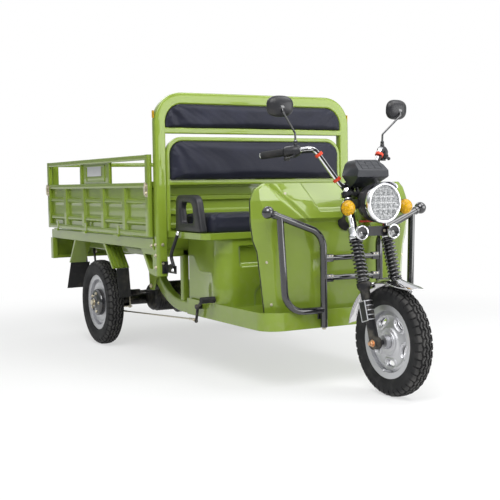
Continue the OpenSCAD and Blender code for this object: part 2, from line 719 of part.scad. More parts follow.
lever_y = -(seat_w / 2 + 16);

module parking_lever() color(black) {
    x0 = roll_front + seat_gap;
    z0 = post_foot + 13;
    block([x0, lever_y - 20, z0], [x0 + 6, lever_y + 12, z0 + 60]);
    block([x0 + 5, lever_y - 3, z0 + 6], [x0 + 122, lever_y + 3, z0 + 46]);
    bent_tube([[x0 + 106, lever_y, z0 + 24], [x0 + 62, lever_y, z0 + 92], [x0 + 150, lever_y, z0 + 204]], 9, 30, [0, 1, 0]);
}

// Front fork, lamps and bars

module steering_stem() color(black) {
    fork_frame() translate([axis_x, 0, head_low - 20]) cylinder(h = head_top - head_low + 20, d = stem_d);
    difference() {
        union() {
            fork_frame() yoke_plate(head_low - seat_gap - yoke_low_h, yoke_low_h);
            block([spot.x - 38, -spot.y - 12, spot.z - 17], [spot.x - 22 - seat_gap, spot.y + 12, spot.z + 24]);
            for (side = [-1, 1]) fork_frame() translate([-leg_lead, side * leg_y, spring_top])
                cylinder(h = head_low - yoke_low_h - spring_top, d = spring_d - 6);
        }
        fork_frame() fork_bores(tube_d + 2 * seat_gap);
    }
}

// A yoke plate that ties the stem to both legs
module yoke_plate(z, h) translate([0, 0, z]) linear_extrude(h) {
    for (side = [-1, 1]) translate([-leg_lead, side * leg_y]) circle(tube_d / 2 + 9);
    translate([axis_x, 0]) circle(stem_d / 2 + 14);
    translate([-leg_lead - 18, -leg_y]) square([30, leg_spread]);
    translate([axis_x - 12, -40]) square([40, 80]);
}

module fork_bores(d) for (side = [-1, 1])
    translate([-leg_lead, side * leg_y, 0]) cylinder(h = 2 * fork_l, d = d);

clamp_c = fork_point([axis_x - 22, 0, fork_l + 42]);

module top_yoke() color(black) difference() {
    union() {
        fork_frame() yoke_plate(head_top + seat_gap, yoke_top_h);
        both_sides() fork_frame() block([axis_x - 40, 20, head_top + yoke_top_h - 4], [axis_x + 2, 44, fork_l + 62]);
    }
    fork_frame() fork_bores(tube_d + 2 * seat_gap);
    rod(clamp_c - [0, 100, 0], clamp_c + [0, 100, 0], bar_d / 2 + 0.2);
}

module fork_tubes() color(chrome) fork_frame() for (side = [-1, 1]) translate([-leg_lead, side * leg_y, 0]) {
    translate([0, 0, leg_top + seat_gap]) cylinder(h = fork_l + 8 - leg_top, d = tube_d);
    translate([0, 0, fork_l + 8]) cylinder(h = 10, d = tube_d - 6, $fn = 6);
}

coil_steps = 14;
coil_sides = 6;

module coil(radius, wire, turns, height) {
    steps = turns * coil_steps;
    points = [for (i = [0 : steps]) let (a = i * 360 / coil_steps) for (j = [0 : coil_sides - 1])
        let (b = j * 360 / coil_sides, r = radius + wire / 2 * cos(b))
        [r * cos(a), r * sin(a), wire / 2 + (height - wire) * i / steps + wire / 2 * sin(b)]];
    function at(i, j) = i * coil_sides + j % coil_sides;
    skin = [for (i = [0 : steps - 1]) for (j = [0 : coil_sides - 1])
        each [[at(i, j), at(i, j + 1), at(i + 1, j + 1)], [at(i, j), at(i + 1, j + 1), at(i + 1, j)]]];
    polyhedron(points, concat(skin, [[for (j = [coil_sides - 1 : -1 : 0]) at(0, j)]],
        [[for (j = [0 : coil_sides - 1]) at(steps, j)]]));
}

module fork_springs() color(black) fork_frame() for (side = [-1, 1])
    translate([-leg_lead, side * leg_y, spring_low + seat_gap])
        coil((spring_d - wire_d) / 2, wire_d, spring_turns, spring_top - spring_low - 2 * seat_gap);

module fork_legs() color(black) fork_frame() for (side = [-1, 1]) difference() {
    translate([-leg_lead, side * leg_y, 0]) {
        translate([0, 0, 12]) cylinder(h = leg_top - 12, d = leg_d);
        translate([0, 0, leg_top - 10]) cylinder(h = 18, d = spring_d + 2);
        translate([leg_lead / 2, 0, 0]) along_y() translate([0, 0, -leg_d / 2 + 2]) cylinder(h = leg_d - 4, r = 26);
    }
    translate([-leg_lead, side * leg_y, leg_top]) cylinder(h = fork_l, d = tube_d + 2 * seat_gap);
    along_y() translate([0, 0, -leg_spread]) cylinder(h = 2 * leg_spread, d = axle_d + 2 * pin_gap);
}

axle_d = 14;
fender_r = front_r + 36;
fender_half = 52;
fender_t = 2.5;

module front_fender() color(chrome) translate([wheelbase, 0, front_r]) {
    rotate([90, 0, 0]) rotate([0, 0, 58]) rotate_extrude(angle = 110, $fn = 96) fender_section();
    both_sides() rotate([0, -rake, 0])
        block([-leg_lead - 14, fender_half - 8, leg_top - 8], [-leg_lead + 14, leg_y - spring_d / 2 - 1 - seat_gap, leg_top + 6]);
}

// Crowned strip section: an arc of the crown radius, as wide as the fender
module fender_section() {
    crown = 80;
    intersection() {
        difference() {
            translate([fender_r - crown, 0]) circle(crown, $fn = 64);
            translate([fender_r - crown, 0]) circle(crown - fender_t, $fn = 64);
        }
        translate([fender_r - 40, -fender_half]) square([60, 2 * fender_half]);
    }
}

module front_axle() color(chrome) fork_frame() along_y() {
    translate([0, 0, -leg_y - leg_d / 2 - 18]) cylinder(h = leg_spread + leg_d + 36, d = axle_d);
    for (side = [-1, 1]) {
        translate([0, 0, side * (leg_y + leg_d / 2 + 4 + seat_gap) - 6]) cylinder(h = 12, d = 24, $fn = 6);
        translate([0, 0, side * (leg_y - leg_d / 2 + 2 - seat_gap - 7) - 7]) cylinder(h = 14, d = 26);
    }
}

bar_bend = crown + [-87, bar_reach - 157, 222];
bar_low = [clamp_c.x, 70, clamp_c.z];
grip_end = crown + [-264, bar_reach, 195];

function flip(p) = [p.x, -p.y, p.z];

module handlebar() color(chrome)
    bent_tube([flip(grip_end), flip(bar_bend), flip(bar_low), bar_low, bar_bend, grip_end], bar_d / 2, 40);

grip_dir = unit(bar_bend - grip_end);
grip_l = 104;
pod_l = 74;

module grips() color(black) both_sides() difference() {
    rod(grip_end - grip_dir * 6, grip_end + grip_dir * grip_l, 17);
    rod(grip_end - grip_dir * 0.3, grip_end + grip_dir * (grip_l + 5), bar_d / 2 + 0.2);
}

pod_at = grip_end + grip_dir * (grip_l + 1);

module switch_pods() color(black) both_sides() difference() {
    union() {
        rod(pod_at, pod_at + grip_dir * pod_l, 24);
        lever = pod_at + grip_dir * 36;
        rod(lever, lever + [22, 0, -20], 9);
        rod(lever + [22, 0, -20], lever + [2, 34, -32], 6);
        translate(lever + [2, 34, -32]) sphere(8);
        rod(pod_at + grip_dir * 50 + [0, 0, 10], pod_at + grip_dir * 50 + [0, 0, 34], 9);
    }
    rod(pod_at - grip_dir * 5, pod_at + grip_dir * (pod_l + 5), bar_d / 2 + 0.2);
}

mirror_c = crown + [-153, bar_reach - 24, 405];
mirror_foot = pod_at + grip_dir * 50 + [0, 0, 34 + seat_gap];
mirror_w = 124;
mirror_h = 92;
mirror_dome = 34;

module mirror_outline(inset) {
    w = mirror_w / 2 - inset;
    h = mirror_h / 2 - inset;
    polygon([for (a = [0 : 10 : 350]) [w * sign(cos(a)) * pow(abs(cos(a)), 0.75), h * sign(sin(a)) * pow(abs(sin(a)), 0.75)]]);
}

// The mirror head's frame: glass plane at x 0, its back towards +X
module mirror_frame() translate(mirror_c) rotate([0, 4, 8]) children();

module mirrors() color(black) both_sides() {
    bent_tube([mirror_foot, mirror_foot + [0, 2, 44], mirror_c + [22, 0, -8]], 5, 20);
    difference() {
        mirror_frame() intersection() {
            front_prism(0, mirror_dome) mirror_outline(0);
            translate([mirror_dome - 92, 0, 0]) sphere(92, $fn = 64);
        }
        mirror_frame() front_prism(-1, 3 + seat_gap) mirror_outline(5);
    }
}

module mirror_glass() color("lightsteelblue") both_sides() mirror_frame() front_prism(0.5, 3) mirror_outline(5.3);

module cluster() color(black) {
    intersection() {
        translate(crown) side_prism(-84, 84) polygon([[-8, 66], [5, 48], [51, 66], [99, 92], [103, 122],
            [48, 168], [-5, 162], [-17, 105]]);
        translate(crown) front_prism(-100, 200) polygon([[-50, 40], [50, 40], [84, 98], [75, 146], [53, 172],
            [-53, 172], [-75, 146], [-84, 98]]);
    }
    foot = head_top + yoke_top_h + 2 * seat_gap;
    both_sides() fork_frame() block([axis_x + 8, 16, foot], [axis_x + 26, 24, foot + 60]);
}

lamp = crown + [180, 0, -18];
lamp_r = 88;

module headlight_shell() color(black) translate(lamp) along_x() rotate_extrude($fn = 64)
    polygon([[0, -132], [34, -129], [60, -116], [76, -94], [lamp_r - 6, -70], [lamp_r - 6, -24], [0, -24]]);

module headlight_ring() color(chrome) translate(lamp) along_x() rotate_extrude($fn = 64)
    polygon([[lamp_r - 12, -23.7], [lamp_r - 2, -23.7], [lamp_r, -16], [lamp_r, -4], [lamp_r - 4, 2], [lamp_r - 12, 4]]);

module headlight_lens() color("white", 0.6) translate(lamp) along_x() rotate_extrude($fn = 64)
    polygon([[0, -23.7], [lamp_r - 12.3, -23.7], [lamp_r - 12.3, 0], [50, 6], [0, 9]]);

signal = crown + [125, 152, -37];

module lamp_bracket() color(black) difference() {
    both_sides() {
        fork_frame() translate([-leg_lead, leg_y, head_top - 52]) cylinder(h = 40, d = tube_d + 8);
        block([lamp.x - 137, lamp_r - 6 + seat_gap, lamp.z - 24], [lamp.x - 73, lamp_r, lamp.z + 16]);
        rod([signal.x - 30, lamp_r - 2, signal.z], [signal.x - 30, signal.y, signal.z], 7);
        rod([signal.x - 38, signal.y, signal.z], [signal.x - 14 - seat_gap, signal.y, signal.z], 9);
    }
    fork_frame() fork_bores(tube_d + 2 * seat_gap);
}

module turn_signals() color("orange") both_sides() translate(signal) along_x() rotate_extrude()
    polygon([[0, -14], [18, -14], [30, -4], [33, 6], [28, 17], [16, 25], [0, 28]]);

spot = crown + [131, 84, -143];
spot_r = 32;

module spot_lamps() color(chrome) {
    both_sides() translate(spot) along_x() rotate_extrude()
        polygon([[0, -22], [14, -22], [spot_r - 4, -11], [spot_r - 4, -8], [spot_r, -6], [spot_r, 0], [spot_r - 5, 4],
            [spot_r - 8, -3], [0, -3]]);
}

// Wheels, drawn about Y at the origin

// Rounded tyre section from the rim flange to the tread: a squared-off oval
function tyre_section(outer, width) = let (mid = (outer + rim_d / 2 - 8) / 2, half = (outer - rim_d / 2 + 8) / 2)
    [for (a = [0 : 9 : 351]) [mid + half * sign(cos(a)) * pow(abs(cos(a)), 0.72),
        width / 2 * sign(sin(a)) * pow(abs(sin(a)), 0.72)]];

module tyre(outer, width) color(black) along_y() difference() {
    rotate_extrude($fn = 96) polygon(tyre_section(outer, width));
    rotate_extrude($fn = 96) rim_barrel(seat_gap);
}

// Drop-centre rim outline grown by a clearance
module rim_barrel(grow) {
    r = rim_d / 2;
    w = rim_w / 2;
    translate([0, 0]) polygon([[r - 30 - grow, -w + 4], [r - 22, -w + 4], [r - 16, -w - grow], [r + grow, -w - grow],
        [r + grow, -w + 3 + grow], [r - 10 + grow, -w + 6 + grow], [r - 10 + grow, -w + 16], [r - 20 + grow, -w + 22],
        [r - 20 + grow, w - 22], [r - 10 + grow, w - 16], [r - 10 + grow, w - 6 - grow], [r + grow, w - 3 - grow],
        [r + grow, w + grow], [r - 16, w + grow], [r - 22, w - 4], [r - 30 - grow, w - 4]]);
}

module rim_ring() difference() {
    rotate_extrude($fn = 96) rim_barrel(0);
    translate([0, 0, -rim_w]) cylinder(h = 2 * rim_w, r = rim_d / 2 - 26, $fn = 96);
}

// Pressed disc of a wheel. Columns: radius, offset of the outer face along the axle
disc_curve = [[30, 22], [56, 22], [64, 14], [96, 8], [112, 14], [126, 10], [rim_d / 2 - 24, 2]];

module wheel_disc(t) rotate_extrude($fn = 96) polygon(concat(disc_curve,
    [for (i = [len(disc_curve) - 1 : -1 : 0]) disc_curve[i] - [0, t]]));

module wheel_windows(count, r0, r1, w) for (i = [0 : count - 1]) rotate([0, 0, (i + 0.5) * 360 / count]) {
    translate([(r0 + r1) / 2, -w / 2, -60]) cylinder(h = 120, d = r1 - r0);
    translate([(r0 + r1) / 2, w / 2, -60]) cylinder(h = 120, d = r1 - r0);
    translate([r0, -w / 2, -60]) cube([r1 - r0, w, 120]);
}

front_hub_half = leg_y - leg_d / 2 + 2 - 14 - 2 * seat_gap - 1;

module front_wheel_pos() fork_frame() children();

module front_tyre() front_wheel_pos() tyre(front_r, front_tyre_w);

module front_rim() color("gainsboro") front_wheel_pos() along_y() difference() {
    union() {
        rim_ring();
        difference() {
            union() {
                wheel_disc(5);
                mirror([0, 0, 1]) wheel_disc(5);
            }
            wheel_windows(5, 80, 108, 22);
        }
        translate([0, 0, -front_hub_half]) cylinder(h = 2 * front_hub_half, r = 28);
        translate([0, 0, -24]) cylinder(h = 48, r = 50);
    }
    translate([0, 0, -leg_spread]) cylinder(h = 2 * leg_spread, r = axle_d / 2 + pin_gap);
}

module rear_wheel_pos(side) translate([0, side * wheel_y, rear_r]) mirror([0, side < 0 ? 1 : 0, 0]) children();

module rear_tyre(side) rear_wheel_pos(side) tyre(rear_r, rear_tyre_w);

module rear_rim(side) color("gainsboro") rear_wheel_pos(side) rotate([-90, 0, 0]) {
    difference() {
        union() {
            rim_ring();
            wheel_disc(5);
        }
        translate([0, 0, -60]) cylinder(h = 120, r = 62);
    }
}

hub_len = rim_w / 2 + 40;

module rear_hub(side) color(black) rear_wheel_pos(side) rotate([-90, 0, 0]) difference() {
    rotate_extrude($fn = 64) polygon([[0, -hub_len], [88, -hub_len], [94, -hub_len + 8], [94, -14], [80, -6],
        [62 - seat_gap, 0], [62 - seat_gap, 16], [40, 24], [36, 44], [28, 52], [0, 54]]);
    translate([0, 0, -hub_len - 1]) cylinder(h = hub_len + 46, r = stub_r + pin_gap);
}

placed() main_frame();
placed() floor_pan();
placed() front_fairing();
placed() crash_bar();
placed() seat_box();
placed() battery_pack();
placed() seat_pan();
placed() seat_cushion();
placed() armrests();
placed() roll_bar();
placed() back_frame();
placed() back_cushion_low();
placed() back_cushion_high();
placed() bed_floor();
placed() headboard();
placed() tail_panel();
placed() tail_lamps();
placed() rear_axle();
placed() drive_motor();
placed() leaf_springs();
placed() spring_shackles();
placed() splash_plates();
placed() mud_flaps();
placed() parking_lever();
placed() brake_pedal();
placed() brake_rod();
placed() steering_stem();
placed() top_yoke();
placed() fork_tubes();
placed() fork_springs();
placed() fork_legs();
placed() front_fender();
placed() front_axle();
placed() handlebar();
placed() grips();
placed() switch_pods();
placed() mirrors();
placed() mirror_glass();
placed() cluster();
placed() headlight_shell();
placed() headlight_ring();
placed() headlight_lens();
placed() lamp_bracket();
placed() spot_lamps();
placed() turn_signals();
placed() front_tyre();
placed() front_rim();
placed() rear_tyre(-1);  // rear_tyre_right
placed() rear_rim(-1);  // rear_rim_right
placed() rear_hub(-1);  // rear_hub_right
placed() rear_tyre(1);  // rear_tyre_left
placed() rear_rim(1);  // rear_rim_left
placed() rear_hub(1);  // rear_hub_left
placed() side_board(-1);  // side_board_right
placed() side_board(1);  // side_board_left
placed() tailgate();
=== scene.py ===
"""Looks of the electric cargo tricycle: its visible surfaces, their finishes and the studio.

Shapes are worked out in millimetres, with X counted forward from the rear axle, Y to the rider's
left and Z up from the ground. Workshop.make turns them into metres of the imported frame.
"""

from __future__ import annotations

import json
import logging
import math
from dataclasses import dataclass
from enum import Enum
from typing import Any, Mapping, Sequence

import bmesh
import bpy
import numpy as np
from mathutils import Matrix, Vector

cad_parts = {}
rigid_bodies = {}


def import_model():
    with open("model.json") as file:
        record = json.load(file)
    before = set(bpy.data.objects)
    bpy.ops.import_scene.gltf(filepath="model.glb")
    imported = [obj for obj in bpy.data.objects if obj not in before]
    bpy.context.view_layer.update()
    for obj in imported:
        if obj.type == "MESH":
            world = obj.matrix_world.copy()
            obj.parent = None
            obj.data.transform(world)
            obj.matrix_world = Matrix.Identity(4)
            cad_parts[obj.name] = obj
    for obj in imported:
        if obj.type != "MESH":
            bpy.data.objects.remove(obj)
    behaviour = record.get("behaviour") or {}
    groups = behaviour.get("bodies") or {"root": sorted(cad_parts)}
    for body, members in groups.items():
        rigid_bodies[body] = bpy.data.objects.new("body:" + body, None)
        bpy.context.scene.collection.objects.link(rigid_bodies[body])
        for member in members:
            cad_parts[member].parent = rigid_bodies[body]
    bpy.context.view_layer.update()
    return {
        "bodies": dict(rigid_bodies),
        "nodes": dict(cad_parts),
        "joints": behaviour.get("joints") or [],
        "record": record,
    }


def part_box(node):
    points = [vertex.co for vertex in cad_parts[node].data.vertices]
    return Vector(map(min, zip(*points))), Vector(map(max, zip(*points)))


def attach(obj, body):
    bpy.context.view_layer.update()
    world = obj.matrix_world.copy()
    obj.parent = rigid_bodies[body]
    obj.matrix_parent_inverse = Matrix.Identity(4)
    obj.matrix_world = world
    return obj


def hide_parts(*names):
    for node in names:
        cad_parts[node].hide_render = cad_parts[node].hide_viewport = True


Array = np.ndarray
LOG = logging.getLogger("tricycle")
MM = 0.001
TURN = 2 * math.pi
SKIN_WELD = 2e-6
NODE_WELD = 1e-5
FORWARD = np.array([1.0, 0.0, 0.0])
LEFT = np.array([0.0, 1.0, 0.0])
UP = np.array([0.0, 0.0, 1.0])
FLIP = np.array([1.0, -1.0, 1.0])


class Body(Enum):
    """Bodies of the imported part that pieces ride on."""

    CHASSIS = "chassis"
    STEERING = "steering"
    FRONT_WHEEL = "front_wheel"
    WHEEL_RIGHT = "rear_wheel_right"
    WHEEL_LEFT = "rear_wheel_left"
    BOARD_RIGHT = "board_right"
    BOARD_LEFT = "board_left"
    GATE = "gate"


def row(*values: float) -> Array:
    """One point or list of numbers as an array."""
    return np.array(values, float)


def table(*rows: Sequence[float]) -> Array:
    """Rows of numbers as a two-dimensional array."""
    return np.array(rows, float)


def points(*parts: Array | float) -> Array:
    """Coordinates given one by one, spread to one shape and set side by side in a last axis."""
    return np.stack(np.broadcast_arrays(*parts), -1)


def joined(*parts: Array | Sequence[float]) -> Array:
    """Arrays set end to end along their first axis."""
    return np.concatenate(parts)


def unit(arrows: Array) -> Array:
    """Directions scaled to length one along their last axis."""
    return arrows / np.linalg.norm(arrows, axis=-1, keepdims=True)


def bent(wave: Array, power: float) -> Array:
    """A power that keeps the sign, which squares off sines and cosines."""
    return np.sign(wave) * np.abs(wave) ** power


def ease(value: Array | float, start: float, end: float) -> Array:
    """Smooth step from 0 at start to 1 at end: t squared times (3 - 2t)."""
    t = np.clip((np.asarray(value, float) - start) / (end - start), 0, 1)
    return t * t * (3 - 2 * t)


def rounded_path(corners: Array, bend: float, steps: int = 10) -> Array:
    """Path through corner points, each inner corner replaced by an arc.

    The arc starts bend times the tangent of half the turn before the corner and keeps one radius.

    Args:
        corners: Corner points in order, one a row.
        bend: Radius of every arc.
        steps: Segments in one arc.

    Returns:
        Points of the path, one a row.
    """
    before, corner, after = corners[:-2], corners[1:-1], corners[2:]
    into, away = unit(corner - before), unit(after - corner)
    cosine = np.sum(into * away, -1, keepdims=True)
    turn = np.arccos(np.clip(cosine, -1, 1))
    inward = unit(away - cosine * into)
    centre = corner - into * bend * np.tan(turn / 2) + inward * bend
    angle = turn[:, None] * np.linspace(0, 1, steps + 1)[None, :, None]
    arcs = centre[:, None] + bend * (into[:, None] * np.sin(angle) - inward[:, None] * np.cos(angle))
    return joined(corners[:1], arcs.reshape(-1, 3), corners[-1:])


def resample(path: Array, count: int) -> Array:
    """The same path with its points spaced evenly along its length.

    Args:
        path: Points of the path, one a row.
        count: Number of points wanted.

    Returns:
        The new points, one a row.
    """
    reach = joined([0], np.cumsum(np.linalg.norm(np.diff(path, axis=0), axis=1)))
    spaced = np.linspace(0, reach[-1], count)
    return np.stack([np.interp(spaced, reach, path[:, axis]) for axis in range(path.shape[1])], -1)


def circle(sides: int) -> Array:
    """Unit circle as (sides, 2) points."""
    angle = np.linspace(0, TURN, sides, endpoint=False)
    return points(np.cos(angle), np.sin(angle))


def rounded_box(width: float, height: float, corner: float, steps: int = 3) -> Array:
    """Outline of a rectangle with quarter-circle corners, centred on zero.

    Args:
        width: Size along the first axis.
        height: Size along the second axis.
        corner: Radius of the corners.
        steps: Segments in one corner.

    Returns:
        Points of the outline, one a row.
    """
    angle = np.linspace(0, TURN / 4, steps + 1)[None] + np.arange(4)[:, None] * TURN / 4
    centre = table((1, 1), (-1, 1), (-1, -1), (1, -1)) * row(width / 2 - corner, height / 2 - corner)
    return (centre[:, None] + corner * points(np.cos(angle), np.sin(angle))).reshape(-1, 2)


def swept(path: Array, outline: Array, ref: Array, size: Array | float = 1.0) -> Array:
    """Rings of an outline carried along a path.

    At each point the heading is the mean of its two neighbour directions, the outline's first axis
    is the reference less its part along the heading, and the second is heading cross first.

    Args:
        path: Points of the path, one a row.
        outline: Outline points in the ring's plane.
        ref: Reference direction that is never along the path.
        size: Scale of the outline, one number or one for each path point.

    Returns:
        Grid of points, one ring a row.
    """
    step = unit(np.diff(path, axis=0))
    heading = unit(joined(step[:1], step[:-1] + step[1:], step[-1:]))
    first = unit(ref - (heading @ ref)[:, None] * heading)
    second = np.cross(heading, first)
    ring = first[:, None] * outline[None, :, :1] + second[:, None] * outline[None, :, 1:]
    return path[:, None] + ring * np.broadcast_to(size, len(path))[:, None, None]


def turned(profile: Array, centre: Array, axis: Array, segments: int = 48) -> Array:
    """Surface of revolution: centre plus axis times the height plus the radius round the axis.

    Args:
        profile: Rows of radius and height.
        centre: Point on the axis at height zero.
        axis: Direction of the axis.
        segments: Steps round the axis.

    Returns:
        Grid of points, one ring a row.
    """
    axis = unit(axis)
    side = unit(np.cross(axis, LEFT if abs(axis[1]) < 0.9 else UP))
    ring = circle(segments) @ table(side, np.cross(axis, side))
    return centre + profile[:, None, 1:] * axis + profile[:, None, :1] * ring[None]


class Skin:
    """A mesh in the making: grids of points joined into one piece."""

    def __init__(self) -> None:
        """Starts with no points."""
        self.points: list[Array] = []
        self.faces: list[list[int]] = []
        self.count = 0

    def grid(self, rows: Array, around: bool = True, along: bool = False, caps: bool = True) -> Skin:
        """Adds a grid of points as quads.

        Args:
            rows: Points as (rows, columns, 3).
            around: Whether the last column joins the first.
            along: Whether the last row joins the first.
            caps: Whether the open ends of a tube are closed.

        Returns:
            This skin.
        """
        index = self.count + np.arange(rows.shape[0] * rows.shape[1]).reshape(rows.shape[:2])
        ends = (index[0], index[-1][::-1])
        if around:
            index = np.concatenate([index, index[:, :1]], 1)
        if along:
            index = np.concatenate([index, index[:1]], 0)
        quads = np.stack([index[:-1, :-1], index[:-1, 1:], index[1:, 1:], index[1:, :-1]], -1)
        self.faces += quads.reshape(-1, 4).tolist()
        if caps and around and not along:
            self.faces += [end.tolist()[::-1] for end in ends]
        self.points.append(rows.reshape(-1, 3))
        self.count += rows.shape[0] * rows.shape[1]
        return self

    def slab(self, front: Array, back: Array) -> Skin:
        """Adds two grids of one shape as the faces of a closed sheet.

        Args:
            front: Points of the front, as (rows, columns, 3).
            back: Points of the back, in the same order.

        Returns:
            This skin.
        """
        size = front.shape[0] * front.shape[1]
        fore = self.count + np.arange(size).reshape(front.shape[:2])
        rear = fore + size
        self.grid(front, around=False, caps=False)
        self.grid(back[:, ::-1], around=False, caps=False)
        rear = rear[:, ::-1]
        edges = ((fore[0], rear[0]), (rear[-1], fore[-1]),
                 (rear[:, 0], fore[:, 0]), (fore[:, -1], rear[:, -1]))
        for near, far in edges:
            self.faces += np.stack([near[:-1], far[:-1], far[1:], near[1:]], -1).tolist()
        return self

    def tube(self, path: Array, radius: Array | float, sides: int = 20, ref: Array = FORWARD) -> Skin:
        """Adds a round tube along a path."""
        return self.grid(swept(path, circle(sides), ref, radius))

    def bar(self, path: Array, width: float, height: float, corner: float = 4, ref: Array = UP) -> Skin:
        """Adds a bar of rounded box section, its width measured along the reference."""
        return self.grid(swept(path, rounded_box(width, height, corner), ref))

    def lathe(self, profile: Array, centre: Array, axis: Array = FORWARD, segments: int = 48) -> Skin:
        """Adds a surface of revolution, a closed ring where neither end of the profile is on the axis."""
        ring = bool(min(profile[0, 0], profile[-1, 0]) > 0)
        return self.grid(turned(profile, centre, axis, segments), along=ring)

    def ball(self, centre: Array, radius: float, axis: Array = UP, flat: float = 1.0) -> Skin:
        """Adds a ball.

        Args:
            centre: Its middle.
            radius: Its radius.
            axis: Direction of its poles.
            flat: Share of the radius that it keeps along the axis.

        Returns:
            This skin.
        """
        angle = np.linspace(-TURN / 4, TURN / 4, 15)
        profile = radius * points(np.cos(angle), flat * np.sin(angle))
        return self.lathe(profile, centre, axis, 28)

    def bolt(self, at: Array, axis: Array, across: float = 16) -> Skin:
        """Adds a hexagon head on a round washer.

        Args:
            at: Middle of the washer's foot.
            axis: Direction in which it stands out.
            across: Width of the head.

        Returns:
            This skin.
        """
        r = across / 2
        self.lathe(table((0, 0), (r * 1.4, 0), (r * 1.4, 1.6), (0, 1.6)), at, axis, 20)
        head = table((r * 1.1, 1.6), (r * 1.13, 2.2), (r * 1.13, r * 0.9), (r * 0.9, r * 1.1), (0, r * 1.1))
        return self.lathe(head, at, axis, 6)

    def plate(self, outer: Array, inner: Array, low: Array, high: Array) -> Skin:
        """Adds a flat ring between two outlines of as many points, from offset low to high."""
        rings = table(outer + low, outer + high, inner + high, inner + low)
        return self.grid(rings, along=True)

    def both_sides(self) -> Skin:
        """Adds the mirror image across the middle plane."""
        count = self.count
        self.points.append(np.concatenate(self.points) * FLIP)
        self.faces += [[count + corner for corner in reversed(face)] for face in self.faces]
        self.count *= 2
        return self


def linked(name: str, data: bpy.types.ID) -> bpy.types.Object:
    """A new object in the scene that holds the data."""
    made = bpy.data.objects.new(name, data)
    bpy.context.scene.collection.objects.link(made)
    return made


def aim(made: bpy.types.Object, right: Array, ahead: Array, place: Array) -> None:
    """Puts a camera or lamp at a place, its own X along right and its view along ahead."""
    matrix = np.eye(4)
    matrix[:3] = np.stack([right, np.cross(right, ahead), -ahead, place], -1)
    made.matrix_world = Matrix(matrix.tolist())


def vectors(mesh: bpy.types.Mesh, part: str = "co") -> Array:
    """Places of a mesh's points, or their normals, one a row."""
    values = np.empty(len(mesh.vertices) * 3, np.float32)
    mesh.vertices.foreach_get(part, values)
    return values.reshape(-1, 3).astype(float)


def corners_of(mesh: bpy.types.Mesh) -> list[list[int]]:
    """Corner numbers of each face of a mesh."""
    return [list(face.vertices) for face in mesh.polygons]


def welded(
        name: str, places: Array, faces: list[list[int]], gap: float,
        outward: bool = False, flat: bool = False) -> bpy.types.Mesh:
    """A mesh whose doubled points are merged.

    Args:
        name: Name of the mesh.
        places: Its points in metres, one a row.
        faces: Corner numbers of each face.
        gap: Distance in metres within which points are merged.
        outward: Whether the faces are turned outwards.
        flat: Whether faces within a degree of one plane are joined.

    Returns:
        The mesh.
    """
    mesh = bpy.data.meshes.new(name)
    mesh.from_pydata(places.tolist(), [], faces)
    work = bmesh.new()
    work.from_mesh(mesh)
    bmesh.ops.remove_doubles(work, verts=work.verts, dist=gap)
    if outward:
        bmesh.ops.recalc_face_normals(work, faces=work.faces)
    if flat:
        bmesh.ops.dissolve_limit(work, angle_limit=math.radians(1), verts=work.verts, edges=work.edges)
    work.to_mesh(mesh)
    work.free()
    return mesh


class Value:
    """A shader output that adds Math nodes where it is used in arithmetic."""

    def __init__(self, shader: Shader, socket: bpy.types.NodeSocket) -> None:
        """Keeps the node tree and the socket."""
        self.shader = shader
        self.socket = socket

    def math(self, operation: str, first: Any, second: Any) -> Value:
        """A Math node on two values."""
        return self.shader.node("ShaderNodeMath", {"operation": operation}, {0: first, 1: second})

    def __add__(self, other: Any) -> Value:
        """Sum."""
        return self.math("ADD", self, other)

    def __radd__(self, other: Any) -> Value:
        """Sum with the number first."""
        return self.math("ADD", other, self)

    def __sub__(self, other: Any) -> Value:
        """Difference."""
        return self.math("SUBTRACT", self, other)

    def __rsub__(self, other: Any) -> Value:
        """Difference with the number first."""
        return self.math("SUBTRACT", other, self)

    def __mul__(self, other: Any) -> Value:
        """Product."""
        return self.math("MULTIPLY", self, other)

    def __rmul__(self, other: Any) -> Value:
        """Product with the number first."""
        return self.math("MULTIPLY", other, self)


